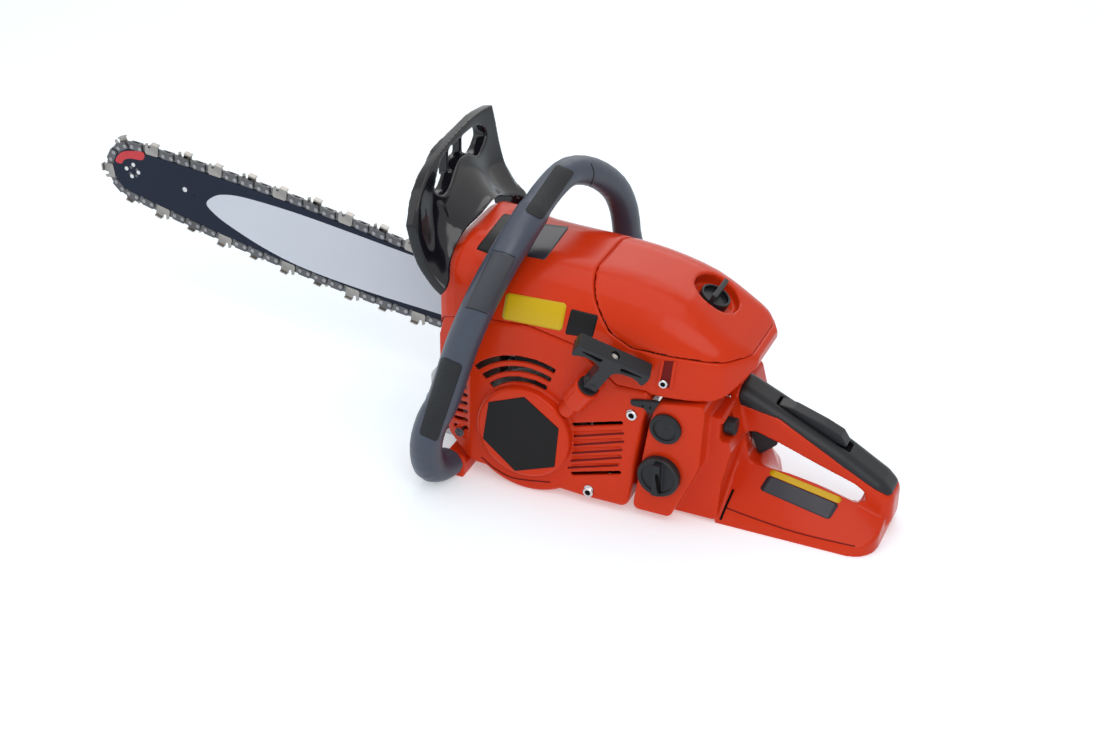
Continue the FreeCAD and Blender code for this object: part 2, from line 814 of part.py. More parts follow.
add_sizes("ignition", {
    "coil_air_gap": 0.5,
    "coil_leg_half_span": 20,
    "coil_leg_width": 7,
    "coil_leg_height": 9,
    "coil_core_height": 8,
    "coil_core_width": 9,
    "coil_case_half_length": 12,
    "coil_case_height": 15,
    "coil_case_width": 15,
    "plug_hex_radius": 10.4,
    "plug_hex_height": 9,
    "plug_reach": 6,
    "plug_insulator_radius": 5,
    "plug_insulator_length": 16,
    "boot_radius": 8.5,
    "boot_length": 22,
    "boot_wall_gap": 0.3,
    "boot_arm_length": 16,
    "lead_radius": 3,
    "lead_sections": 12,
    "lead_sides": 10,
})
coil_base = axis_z + size.flywheel_radius + size.coil_air_gap
coil_y = size.coil_plate_start + size.coil_plate_thickness
coil_core = joined([
    block((side * size.coil_leg_half_span.value,
           side * (size.coil_leg_half_span.value - size.coil_leg_width.value)),
          (coil_y, coil_y + size.coil_core_width),
          (coil_base, coil_base + size.coil_leg_height + size.coil_core_height))
    for side in (1, -1)]
    + [block((-size.coil_leg_half_span, size.coil_leg_half_span),
             (coil_y, coil_y + size.coil_core_width),
             (coil_base + size.coil_leg_height,
              coil_base + size.coil_leg_height + size.coil_core_height))]
    + [block((-size.coil_case_half_length, size.coil_case_half_length),
             (coil_y, coil_y + size.coil_case_width),
             (coil_base + size.coil_leg_height - size.coil_air_gap,
              coil_base + size.coil_leg_height + size.coil_case_height))])
rim_clearance = disc(0, axis_z, size.flywheel_radius + size.coil_air_gap, size.flywheel_start,
                     flywheel_end + size.blade_width)
feature("ignition_coil", coil_core.cut(rim_clearance))

plug_base = case_top + size.barrel_height
plug_hex = top_prism(hexagon(size.plug_hex_radius), plug_base, plug_base + size.plug_hex_height)
plug = joined([
    plug_hex,
    rod(Vector(0, 0, plug_base - size.plug_reach), Vector(0, 0, plug_base),
        size.plug_thread_radius),
    rod(Vector(0, 0, plug_base), Vector(0, 0, plug_base + size.plug_hex_height
                                        + size.plug_insulator_length),
        size.plug_insulator_radius)])
feature("spark_plug", plug)

boot_base = plug_base + size.plug_hex_height + size.boot_wall_gap
boot_top = boot_base + size.boot_length
arm_z = boot_top - size.boot_radius * 0.7
boot = joined([
    rod(Vector(0, 0, boot_base), Vector(0, 0, boot_top), size.boot_radius),
    rod(Vector(0, 0, arm_z), Vector(0, size.boot_radius + size.boot_arm_length, arm_z),
        size.boot_radius * 0.65)])
boot = boot.cut(rod(Vector(0, 0, boot_base), Vector(0, 0, boot_base + size.plug_insulator_length),
                    size.plug_insulator_radius + size.boot_wall_gap))
feature("plug_boot", boot)
lead_start = size.boot_radius + size.boot_arm_length
lead_end_z = coil_base + size.coil_leg_height + size.coil_case_height
lead_y = coil_y + size.coil_case_width / 2
lead_path = bent_path([Vector(0, lead_start, arm_z), Vector(0, lead_y, arm_z),
                       Vector(0, lead_y, lead_end_z)])
feature("ignition_lead", swept_tube(lead_path.discretize(int(size.lead_sections.value)),
                                    [size.lead_radius] * int(size.lead_sections.value),
                                    int(size.lead_sides.value)))


# Clutch, oil pump and sprocket

add_sizes("chain", {
    "chain_pitch": 8.255,
    "drive_link_count": 64,
    "sprocket_teeth": 7,
    "nose_radius": 26,
    "chain_belly": 34.5,
    "rail_offset": 4.5,
    "link_half_length": 6.8,
    "link_shoulder": 5.6,
    "link_top": 3.4,
    "link_corner": 2.5,
    "tang_depth": 8,
    "tang_half_width": 1.6,
    "tang_thickness": 1.5,
    "strap_bottom": 4,
    "strap_thickness": 1.3,
    "strap_gap": 0.05,
    "groove_gap": 0.05,
    "groove_depth": 5.2,
    "cutter_top": 8.2,
    "cutter_plate": 1.3,
    "cutter_overhang": 3.7,
    "gauge_top": 7.2,
    "gullet_top": 2.6,
})
rivet_count = int(size.drive_link_count.value) * 2
sprocket_radius = size.chain_pitch.value / (
    2 * math.sin(math.pi / (2 * size.sprocket_teeth.value)))

add_sizes("clutch", {
    "pump_outer": 20,
    "pump_inner": 9,
    "pump_length": 11,
    "pump_block_reach": 30,
    "pump_block_half_height": 9,
    "worm_radius": 9,
    "worm_length": 9,
    "drum_bearing_outer": 7.8,
    "drum_bearing_length": 10.5,
    "sprocket_start": 58.5,
    "sprocket_width": 7,
    "sprocket_root_gap": 0.25,
    "strap_seat_gap": 0.15,
    "drum_web_start": 67,
    "drum_web_thickness": 2,
    "drum_radius": 38,
    "drum_wall": 2.5,
    "drum_depth": 18,
    "hub_start": 70,
    "hub_length": 13,
    "hub_radius": 13,
    "hub_arm_half_width": 4.5,
    "hub_arm_radius": 28,
    "shoe_inner": 16,
    "shoe_gap": 0.5,
    "shoe_start": 71,
    "shoe_width": 10,
    "shoe_arm_clearance": 1.2,
    "clutch_spring_inner": 24,
    "clutch_spring_outer": 27,
    "clutch_spring_width": 2.5,
    "band_gap": 0.2,
    "band_thickness": 1.2,
    "band_start": 71,
    "band_width": 12,
    "band_mouth_half_width": 4,
})

pump = joined([
    ring(0, axis_z, size.pump_outer, size.pump_inner, -size.case_half_width,
         -size.case_half_width - size.pump_length),
    block((-size.pump_block_reach, -size.pump_inner - size.seal_width),
          (-size.case_half_width, -size.case_half_width - size.pump_length),
          (axis_z - size.pump_block_half_height, axis_z + size.pump_block_half_height))])
worm_start = -size.drum_seat_start - size.seal_width / 2
worm = ring(0, axis_z, size.worm_radius, size.drum_seat_radius + size.running_fit,
            worm_start - size.worm_length, worm_start)
group_feature("oil_pump", [pump, worm])
bearing_y = worm_start - size.worm_length
turned_body("drum_bearing", [
    (size.drum_seat_radius + size.running_fit, bearing_y - size.drum_bearing_length),
    (size.drum_bearing_outer, bearing_y - size.drum_bearing_length),
    (size.drum_bearing_outer, bearing_y),
    (size.drum_seat_radius + size.running_fit, bearing_y)], z=axis_z)

tooth_tip = (sprocket_radius * math.cos(math.pi / (2 * size.sprocket_teeth.value))
             - size.strap_bottom.value - size.strap_seat_gap.value)
tooth_root = (sprocket_radius * math.cos(math.pi / (2 * size.sprocket_teeth.value))
              - size.tang_depth.value - size.sprocket_root_gap.value)
sprocket = ring(0, axis_z, tooth_tip, size.drum_bearing_outer, -size.sprocket_start,
                -size.sprocket_start - size.sprocket_width)
gap_half = size.tang_half_width + size.sprocket_root_gap
gap_mouth = tooth_root + size.sprocket_root_gap + size.tang_depth - size.link_corner
gap_mouth_half = size.link_half_length + size.sprocket_root_gap
tooth_gap = side_prism([
    (-tooth_root, axis_z - gap_half), (-tooth_root, axis_z + gap_half),
    (-gap_mouth, axis_z + gap_mouth_half), (-gap_mouth, axis_z - gap_mouth_half)],
    -size.sprocket_start, -size.sprocket_start - size.sprocket_width)
for number in range(int(size.sprocket_teeth.value)):
    one_gap = tooth_gap.copy()
    turn = number * FULL_TURN / size.sprocket_teeth.value - size.bar_tilt.value
    one_gap.rotate(Vector(0, 0, axis_z), LEFT, turn)
    sprocket = sprocket.cut(one_gap)
drum_end = size.drum_web_start + size.drum_depth
drum_cup = turned([
    (size.drum_bearing_outer, -size.drum_web_start),
    (size.drum_radius, -size.drum_web_start),
    (size.drum_radius, -drum_end),
    (size.drum_radius - size.drum_wall, -drum_end),
    (size.drum_radius - size.drum_wall, -size.drum_web_start - size.drum_web_thickness),
    (size.drum_bearing_outer, -size.drum_web_start - size.drum_web_thickness)], 0, axis_z)
drum_neck = ring(0, axis_z, tooth_root, size.drum_bearing_outer,
                 -size.sprocket_start - size.sprocket_width, -size.drum_web_start)
feature("clutch_drum", joined([sprocket, drum_neck, drum_cup]))

shoe_count = 3
hub = disc(0, axis_z, size.hub_radius, -size.hub_start, -size.hub_start - size.hub_length)
arms = []
for number in range(shoe_count):
    arm = block((0, size.hub_arm_radius), (-size.shoe_start, -size.shoe_start - size.shoe_width),
                (axis_z - size.hub_arm_half_width, axis_z + size.hub_arm_half_width))
    arm.rotate(Vector(0, 0, axis_z), LEFT, number * FULL_TURN / shoe_count)
    arms.append(arm)
hub = joined([hub] + arms)
feature("clutch_hub", hub.cut(disc(0, axis_z, size.shaft_tip_radius, -size.hub_start,
                                   -size.hub_start - size.hub_length)))
shoe_outer = size.drum_radius - size.drum_wall - size.shoe_gap
shoe_ring = ring(0, axis_z, shoe_outer, size.shoe_inner, -size.shoe_start,
                 -size.shoe_start - size.shoe_width)
for number in range(shoe_count):
    arm_room = block(
        (0, shoe_outer), (-size.shoe_start, -size.shoe_start - size.shoe_width),
        (axis_z - size.hub_arm_half_width - size.shoe_arm_clearance,
         axis_z + size.hub_arm_half_width + size.shoe_arm_clearance))
    arm_room.rotate(Vector(0, 0, axis_z), LEFT, number * FULL_TURN / shoe_count)
    shoe_ring = shoe_ring.cut(arm_room)
spring_y = -size.shoe_start - size.shoe_width
clutch_spring = ring(0, axis_z, size.clutch_spring_outer, size.clutch_spring_inner,
                     spring_y - size.clutch_spring_width, spring_y)
group_feature("clutch_shoes", [*shoe_ring.Solids, clutch_spring])
band_inner = size.drum_radius + size.band_gap
band = ring(0, axis_z, band_inner + size.band_thickness, band_inner, -size.band_start,
            -size.band_start - size.band_width)
band_mouth = block((0, band_inner * 2), (-size.band_start, -size.band_start - size.band_width),
                   (axis_z - size.band_mouth_half_width, axis_z + size.band_mouth_half_width))
feature("brake_band", band.cut(band_mouth))


# Guide bar and chain, drawn level and then tilted about the crankshaft's axis

add_sizes("guide bar", {
    "tail_start": 34,
    "tail_corner": 5,
    "bar_slot_front": 104,
    "bar_slot_gap": 0.1,
    "adjuster_hole_gap": 0.2,
    "nose_hub_radius": 4,
    "nose_pocket_radius": 17,
    "nose_rivet_radius": 1.5,
    "nose_rivet_circle": 4.5,
    "nose_rivet_count": 4,
    "nose_hole_back": 64,
    "nose_hole_radius": 1.6,
})


def run_arc(nose_distance, inset):
    """The belly arc of one run: its circle's centre height and radius, inset from the rivets."""
    start = Vector(0, sprocket_radius, 0)
    crown = Vector(nose_distance / 2, size.chain_belly.value, 0)
    end = Vector(nose_distance, size.nose_radius.value, 0)
    edge = Part.Arc(start, crown, end).toShape()
    return edge.Curve.Center, edge.Curve.Radius - inset, edge.Length


def loop_length(nose_distance):
    """The chain's length round sprocket, nose and both runs."""
    run_length = run_arc(nose_distance, 0)[2]
    return 2 * run_length + math.pi * (sprocket_radius + size.nose_radius.value)


chain_length = rivet_count * size.chain_pitch.value
nose_x = chain_length / 2
for step in range(40):
    nose_x += (chain_length - loop_length(nose_x)) / 2
run_centre, run_radius, run_length = run_arc(nose_x, 0)


def run_place(distance):
    """A point of the upper run, a distance along it from the sprocket."""
    start_angle = math.atan2(sprocket_radius - run_centre.y, -run_centre.x)
    angle = start_angle - distance / run_radius
    return (run_centre.x + run_radius * math.cos(angle),
            run_centre.y + run_radius * math.sin(angle))


def chain_place(distance):
    """A point of the rivet line, from the rearmost point over the top run toward the nose."""
    distance %= chain_length
    half_wrap = math.pi / 2 * sprocket_radius
    nose_wrap = math.pi * size.nose_radius.value
    if distance <= half_wrap:
        angle = math.pi - distance / sprocket_radius
        return sprocket_radius * math.cos(angle), sprocket_radius * math.sin(angle)
    if distance <= half_wrap + run_length:
        return run_place(distance - half_wrap)
    if distance <= half_wrap + run_length + nose_wrap / 2:
        angle = math.pi / 2 - (distance - half_wrap - run_length) / size.nose_radius.value
        return (nose_x + size.nose_radius.value * math.cos(angle),
                size.nose_radius.value * math.sin(angle))
    along, across = chain_place(chain_length - distance)
    return along, -across


def link_placement(number):
    """Where the chain's element with this number lies, from its two rivets."""
    start = chain_place((number - 0.5) * size.chain_pitch.value)
    end = chain_place((number + 0.5) * size.chain_pitch.value)
    angle = math.degrees(math.atan2(end[1] - start[1], end[0] - start[0]))
    middle = Vector((start[0] + end[0]) / 2, -size.bar_plane.value,
                    bar_level((start[1] + end[1]) / 2))
    placement = Placement(middle, Rotation(LEFT, -angle))
    tilt = Placement(Vector(0, 0, 0), Rotation(LEFT, -size.bar_tilt.value),
                     Vector(0, 0, axis_z))
    return tilt.multiply(placement)


def placed_copy(shape, placement):
    """A copy of a link at its place on the loop."""
    link = shape.copy()
    link.Placement = placement
    return link


drive_link = side_prism([
    (-size.link_half_length, -size.link_corner),
    (-size.link_shoulder, size.link_top),
    (size.link_shoulder, size.link_top),
    (size.link_half_length, -size.link_corner),
    (size.tang_half_width, -size.tang_depth),
    (-size.tang_half_width, -size.tang_depth)],
    -size.tang_thickness / 2, size.tang_thickness / 2)
strap_near = size.tang_thickness / 2 + size.strap_gap
strap_far = strap_near + size.strap_thickness
strap_outline = [
    (-size.link_half_length, -size.link_corner),
    (-size.link_shoulder, size.link_top),
    (size.link_shoulder, size.link_top),
    (size.link_half_length, -size.link_corner),
    (size.link_shoulder, -size.strap_bottom),
    (-size.link_shoulder, -size.strap_bottom)]
cutter_outline = [
    (-size.link_half_length, -size.link_corner),
    (-size.link_half_length - size.strap_gap, size.cutter_top - size.cutter_plate / 2),
    (0, size.cutter_top),
    (size.tang_half_width, size.gullet_top),
    (size.link_top, size.gullet_top),
    (size.link_top + size.strap_thickness, size.gauge_top),
    (size.link_half_length, size.gauge_top - size.cutter_plate),
    (size.link_half_length, -size.link_corner),
    (size.link_shoulder, -size.strap_bottom),
    (-size.link_shoulder, -size.strap_bottom)]
top_plate = side_prism([
    (-size.link_half_length - size.strap_gap,
     size.cutter_top - size.cutter_plate / 2 - size.cutter_plate),
    (-size.link_half_length - size.strap_gap, size.cutter_top - size.cutter_plate / 2),
    (0, size.cutter_top),
    (0, size.cutter_top - size.cutter_plate)],
    -size.strap_thickness, size.cutter_overhang)


def on_side(side, outline):
    """A chain plate on the left (1) or right (-1) of the drive links."""
    return side_prism(outline, side * strap_near.value, side * strap_far.value)


def cutter_on_side(side):
    """A cutter whose side plate stands on one side of the chain."""
    plate = top_plate if side > 0 else top_plate.mirror(Vector(0, 0, 0), LEFT)
    return joined([on_side(side, cutter_outline), plate])


straps = {side: on_side(side, strap_outline) for side in (1, -1)}
cutters = {side: cutter_on_side(side) for side in (1, -1)}
drive_links = []
tie_straps = []
cutter_links = []
for number in range(rivet_count):
    placement = link_placement(number)
    if number % 2 == 0:
        drive_links.append(placed_copy(drive_link, placement))
        continue
    order = number // 2
    cutter_side = 0
    if order % 2 == 0:
        cutter_side = 1 if order % 4 == 0 else -1
        cutter_links.append(placed_copy(cutters[cutter_side], placement))
    for side in (1, -1):
        if side != cutter_side:
            tie_straps.append(placed_copy(straps[side], placement))
group_feature("chain_drive_links", drive_links)
group_feature("chain_tie_straps", tie_straps)
group_feature("chain_cutters", cutter_links)


def bar_outline(inset, tail):
    """The bar's edge at an inset from the rivet line, cut square at the tail."""
    centre, radius, _ = run_arc(nose_x, float(inset))
    nose = size.nose_radius.value - float(inset)
    tail = float(tail)

    def edge_height(x):
        return centre.y + math.sqrt(radius ** 2 - (x - centre.x) ** 2)

    tail_top = edge_height(tail)
    nose_top = edge_height(nose_x)
    middle = (tail + nose_x) / 2

    def level(x, z):
        return Vector(x, 0, bar_level(z))

    upper = Part.Arc(level(tail, tail_top), level(middle, edge_height(middle)),
                     level(nose_x, nose_top)).toShape()
    tip = Part.Arc(level(nose_x, nose_top), level(nose_x + nose, 0),
                   level(nose_x, -nose_top)).toShape()
    lower = Part.Arc(level(nose_x, -nose_top), level(middle, -edge_height(middle)),
                     level(tail, -tail_top)).toShape()
    back = Part.makeLine(level(tail, -tail_top), level(tail, tail_top))
    return Part.Wire([upper, tip, lower, back])


def bar_slab(inset, tail, half_thickness):
    """A slab of the bar's outline about the bar's plane."""
    slab = Part.Face(bar_outline(inset, tail)).extrude(Vector(0, 2 * float(half_thickness), 0))
    slab.translate(Vector(0, -size.bar_plane.value - float(half_thickness), 0))
    return slab


groove_half = size.tang_thickness / 2 + size.groove_gap
bar_shape = bar_slab(size.rail_offset, size.tail_start, size.bar_thickness / 2)
bar_shape = rounded_edges(
    bar_shape, size.tail_corner,
    lambda edge: edge.Vertexes[0].X < size.tail_start.value + TOUCHING
    and edge.Vertexes[-1].X < size.tail_start.value + TOUCHING
    and abs(edge.Vertexes[0].Y - edge.Vertexes[-1].Y) > TOUCHING)
groove = bar_slab(size.rail_offset - size.groove_depth, size.tail_start - size.groove_depth,
                  groove_half)
groove = groove.cut(bar_slab(size.rail_offset + size.groove_depth,
                             size.tail_start - size.groove_depth * 2, groove_half))
nose_pocket = disc(nose_x, bar_level(0), size.nose_pocket_radius + size.groove_gap * 2,
                   -size.bar_plane - groove_half, -size.bar_plane + groove_half)
bar_shape = bar_shape.cut(groove).cut(nose_pocket)
slot_radius = size.stud_radius + size.bar_slot_gap
slot_rear = size.stud_first - size.tension_slot_travel
bar_slot = side_prism([
    (slot_rear, bar_level(-slot_radius)),
    (size.bar_slot_front, bar_level(-slot_radius)),
    (size.bar_slot_front, bar_level(slot_radius)),
    (slot_rear, bar_level(slot_radius))],
    bar_inner_face, bar_outer_face, slot_radius * 0.999)
bar_shape = bar_shape.cut(bar_slot)
adjuster_radius = size.tension_pin_radius + size.adjuster_hole_gap
for side in (1, -1):
    bar_shape = bar_shape.cut(disc(size.tension_pin_x, bar_level(size.tension_offset * side),
                                   adjuster_radius, bar_inner_face, bar_outer_face))
bar_shape = bar_shape.cut(disc(nose_x - size.nose_hole_back.value, bar_level(0),
                               size.nose_hole_radius, bar_inner_face, bar_outer_face))
nose_rivets = []
for number in range(int(size.nose_rivet_count.value)):
    angle = math.pi / 4 + number * 2 * math.pi / size.nose_rivet_count.value
    place_x = nose_x + size.nose_rivet_circle.value * math.cos(angle)
    place_z = bar_level(size.nose_rivet_circle.value * math.sin(angle))
    rivet = disc(place_x, place_z, size.nose_rivet_radius, bar_inner_face, bar_outer_face)
    bar_shape = bar_shape.cut(rivet)
    nose_rivets.append(in_bar_frame(rivet))
feature("guide_bar", in_bar_frame(bar_shape))
nose_sprocket = disc(nose_x, bar_level(0), size.nose_pocket_radius,
                     -size.bar_plane - size.tang_thickness / 2,
                     -size.bar_plane + size.tang_thickness / 2)
in_bar_frame(nose_sprocket)
for rivet in nose_rivets:
    nose_sprocket = nose_sprocket.cut(rivet)
group_feature("nose_sprocket", [nose_sprocket, *nose_rivets])

inner_plate = side_prism([
    (size.seat_rear, bar_level(-size.seat_half_width)),
    (size.seat_front, bar_level(-size.seat_half_width)),
    (size.seat_front, bar_level(size.seat_half_width)),
    (size.seat_rear, bar_level(size.seat_half_width))],
    bar_inner_face, seat_face, size.side_plate_corner / 2)
for place in stud_places:
    inner_plate = inner_plate.cut(disc(place, bar_level(0), size.stud_radius, bar_inner_face,
                                       seat_face))
inner_plate = inner_plate.cut(block(
    (size.tension_pin_x - size.tension_slot_travel, size.tension_pin_x + size.tension_slot_travel),
    (bar_inner_face, seat_face),
    (bar_level(size.tension_offset - adjuster_radius),
     bar_level(size.tension_offset + adjuster_radius))))
feature("inner_bar_plate", in_bar_frame(inner_plate))

screw_tip = size.tension_screw_rear + size.bar_slot_gap
screw_end = size.side_plate_front
tension_screw = joined([
    rod(Vector(screw_tip, tension_y, bar_level(size.tension_offset)),
        Vector(screw_end, tension_y, bar_level(size.tension_offset)), size.tension_screw_radius),
    rod(Vector(screw_end - size.tension_head_length, tension_y, bar_level(size.tension_offset)),
        Vector(screw_end, tension_y, bar_level(size.tension_offset)), size.tension_head_radius)])
feature("tension_screw", in_bar_frame(tension_screw))
pin_block = block(
    (size.tension_pin_x - size.tension_block_half_length,
     size.tension_pin_x + size.tension_block_half_length),
    (tension_y + size.tension_block_half_height, seat_face),
    (bar_level(size.tension_offset - size.tension_block_half_height),
     bar_level(size.tension_offset + size.tension_block_half_height)))
pin_block = joined([pin_block, disc(size.tension_pin_x, bar_level(size.tension_offset),
                                    size.tension_pin_radius, seat_face, bar_outer_face)])
pin_block = pin_block.cut(rod(
    Vector(size.tension_pin_x - size.tension_slot_travel, tension_y,
           bar_level(size.tension_offset)),
    Vector(size.tension_pin_x + size.tension_slot_travel, tension_y,
           bar_level(size.tension_offset)),
    size.tension_screw_radius + size.running_fit))
feature("tension_pin", in_bar_frame(pin_block))


# Clutch cover and its fasteners

add_sizes("clutch cover", {
    "cover_radius": 46,
    "cover_front": 118,
    "cover_front_half_height": 46,
    "cover_inner_edge": 57,
    "cover_face": 98,
    "cover_wall": 3,
    "cover_corner": 8,
    "cover_edge_round": 5,
    "cover_boss_rear": 50,
    "cover_boss_front": 106,
    "cover_boss_half_height": 12,
    "cover_rib_height": 1.5,
    "cover_rib_width": 3,
    "cover_rib_count": 5,
    "cover_rib_spacing": 11,
    "nut_flange_radius": 9,
    "nut_flange_thickness": 2,
    "bar_nut_radius": 7.5,
    "bar_nut_length": 8,
    "stud_root": 40,
    "stud_end": 104,
    "ear_width": 5,
    "ear_start": 68.4,
    "ear_radius": 9,
    "ear_foot_half_length": 20,
    "guard_pivot_x": 72,
    "guard_pivot_z": 155,
    "guard_pin_radius": 4,
    "chip_mouth_rear": 60,
})


def cover_outline(inset, y_start, y_end):
    """The clutch cover's outline: round behind the clutch, straight along the bar."""
    radius = size.cover_radius - inset
    rear = disc(0, axis_z, radius, y_start, y_end)
    front = side_prism([
        (0, bar_level(-radius)),
        (size.cover_front - inset, bar_level(-size.cover_front_half_height + inset)),
        (size.cover_front - inset, bar_level(size.cover_front_half_height - inset)),
        (0, bar_level(radius))], y_start, y_end,
        [0, size.cover_corner - inset, size.cover_corner - inset, 0])
    return joined([rear, front])


cover = cover_outline(0, -size.cover_inner_edge, -size.cover_face)
cover = rounded_edges(cover, size.cover_edge_round,
                      lambda edge: all(abs(vertex.Y + size.cover_face.value) < TOUCHING
                                       for vertex in edge.Vertexes))
cover = cover.cut(cover_outline(size.cover_wall, -size.cover_inner_edge,
                                -size.cover_face + size.cover_wall))
stud_boss = side_prism([
    (size.cover_boss_rear, bar_level(-size.cover_boss_half_height)),
    (size.cover_boss_front, bar_level(-size.cover_boss_half_height)),
    (size.cover_boss_front, bar_level(size.cover_boss_half_height)),
    (size.cover_boss_rear, bar_level(size.cover_boss_half_height))],
    bar_outer_face, -size.cover_face + size.cover_wall / 2, size.cover_corner)
ribs = []
for number in range(int(size.cover_rib_count.value)):
    rib_height = bar_level((number - (size.cover_rib_count.value - 1) / 2)
                           * size.cover_rib_spacing.value)
    ribs.append(block((-size.cover_radius / 2, size.cover_boss_rear - size.nut_flange_radius),
                      (-size.cover_face + size.cover_wall / 2,
                       -size.cover_face - size.cover_rib_height),
                      (rib_height - size.cover_rib_width / 2,
                       rib_height + size.cover_rib_width / 2)))
cover = joined([cover, stud_boss] + ribs)
chain_mouth = block((size.cover_boss_front, size.cover_front + size.cover_wall),
                    (-size.cover_inner_edge, -size.drum_web_start),
                    (bar_level(-size.cover_front_half_height + size.cover_wall),
                     bar_level(size.cover_front_half_height - size.cover_wall)))
chip_mouth = block((size.chip_mouth_rear, size.cover_front + size.cover_wall),
                   (-size.cover_inner_edge, -size.drum_web_start),
                   (bar_level(-size.cover_radius - size.cover_wall),
                    bar_level(-size.chain_belly)))
cover = cover.cut(chain_mouth).cut(chip_mouth)
for place in stud_places:
    cover = cover.cut(disc(place, bar_level(0), size.stud_radius, bar_outer_face,
                           -size.cover_face - size.cover_wall))
cover = cover.cut(disc(size.tension_pin_x, bar_level(size.tension_offset),
                       adjuster_radius, bar_outer_face, bar_outer_face - size.cover_wall))
in_bar_frame(cover)
pivot = (size.guard_pivot_x, size.guard_pivot_z)
ear = joined([
    side_prism([
        (size.guard_pivot_x - size.ear_foot_half_length, axis_z + size.cover_radius),
        (size.guard_pivot_x + size.ear_foot_half_length, axis_z + size.cover_radius),
        (size.guard_pivot_x + size.ear_radius, size.guard_pivot_z),
        (size.guard_pivot_x - size.ear_radius, size.guard_pivot_z)],
        -size.ear_start, -size.ear_start - size.ear_width),
    disc(*pivot, size.ear_radius, -size.ear_start, -size.ear_start - size.ear_width)])
inside_cover = in_bar_frame(cover_outline(size.cover_wall, -size.cover_inner_edge,
                                          -size.cover_face + size.cover_wall))
ear = ear.cut(inside_cover).cut(disc(*pivot, size.guard_pin_radius + size.running_fit,
                                     -size.ear_start, -size.ear_start - size.ear_width))
feature("clutch_cover", joined([cover, ear]))

studs = [in_bar_frame(disc(place, bar_level(0), size.stud_radius, -size.stud_root,
                           -size.stud_end)) for place in stud_places]
nuts = []
for place in stud_places:
    nut = joined([
        disc(place, bar_level(0), size.nut_flange_radius, -size.cover_face,
             -size.cover_face - size.nut_flange_thickness),
        side_prism(hexagon(size.bar_nut_radius, place, bar_level(0)), -size.cover_face,
                   -size.cover_face - size.bar_nut_length)])
    nut = nut.cut(disc(place, bar_level(0), size.stud_radius, -size.cover_face,
                       -size.cover_face - size.bar_nut_length))
    nuts.append(in_bar_frame(nut))
group_feature("bar_studs", studs + nuts)

add_sizes("bumper and catcher", {
    "bumper_rear": 98,
    "bumper_body_front": 119,
    "bumper_tooth_front": 130,
    "bumper_half_height": 30,
    "bumper_thickness": 3,
    "bumper_tooth_count": 4,
    "bumper_tooth_root": 0.75,
    "catcher_rear": 62,
    "catcher_front": 80,
    "catcher_inner": 42,
    "catcher_outer": 64,
    "catcher_plate": 2,
    "catcher_depth": 6,
    "catcher_lip": 10,
    "brake_spring_radius": 3.5,
    "brake_spring_rear": 4,
    "brake_spring_front": 44,
    "brake_spring_height": 26,
    "brake_spring_y": 91.4,
})
tooth_pitch = 2 * size.bumper_half_height.value / size.bumper_tooth_count.value
bumper_points = [(size.bumper_rear, bar_level(size.bumper_half_height)),
                 (size.bumper_rear, bar_level(-size.bumper_half_height))]
for number in range(int(size.bumper_tooth_count.value)):
    low = -size.bumper_half_height.value + number * tooth_pitch
    bumper_points += [(size.bumper_body_front, bar_level(low)),
                      (size.bumper_tooth_front, bar_level(low + tooth_pitch / 2)),
                      (size.bumper_body_front, bar_level(low + tooth_pitch))]
bumper_points = bumper_points[:2] + [
    point for index, point in enumerate(bumper_points[2:])
    if index % 3 != 2 or index == len(bumper_points) - 3]
bumper = side_prism(bumper_points, -size.side_plate_face,
                    -size.side_plate_face - size.bumper_thickness)
seat_room = side_prism([
    (size.seat_rear, bar_level(-size.seat_half_width)),
    (size.seat_front, bar_level(-size.seat_half_width)),
    (size.seat_front, bar_level(size.seat_half_width)),
    (size.seat_rear, bar_level(size.seat_half_width))],
    -size.case_half_width, seat_face, size.side_plate_corner / 2)
screw_room = rod((size.bumper_rear, tension_y, bar_level(size.tension_offset)),
                 (size.bumper_tooth_front, tension_y, bar_level(size.tension_offset)),
                 size.tension_head_radius + size.strap_seat_gap)
feature("spike_bumper", in_bar_frame(bumper.cut(seat_room).cut(screw_room)))
catcher = joined([
    block((size.catcher_rear, size.catcher_front), (-size.catcher_inner, -size.catcher_outer),
          (bar_level(size.side_plate_low), bar_level(size.side_plate_low - size.catcher_plate))),
    block((size.catcher_rear, size.catcher_front),
          (-size.catcher_outer + size.catcher_lip, -size.catcher_outer),
          (bar_level(size.side_plate_low - size.catcher_plate),
           bar_level(size.side_plate_low - size.catcher_depth)))])
feature("chain_catcher", in_bar_frame(catcher))
brake_spring = rod(
    Vector(size.brake_spring_rear, -size.brake_spring_y, bar_level(size.brake_spring_height)),
    Vector(size.brake_spring_front, -size.brake_spring_y, bar_level(size.brake_spring_height)),
    size.brake_spring_radius)
feature("brake_spring", in_bar_frame(brake_spring))


# Casings: every outline is drawn in shares of the casing's length and height

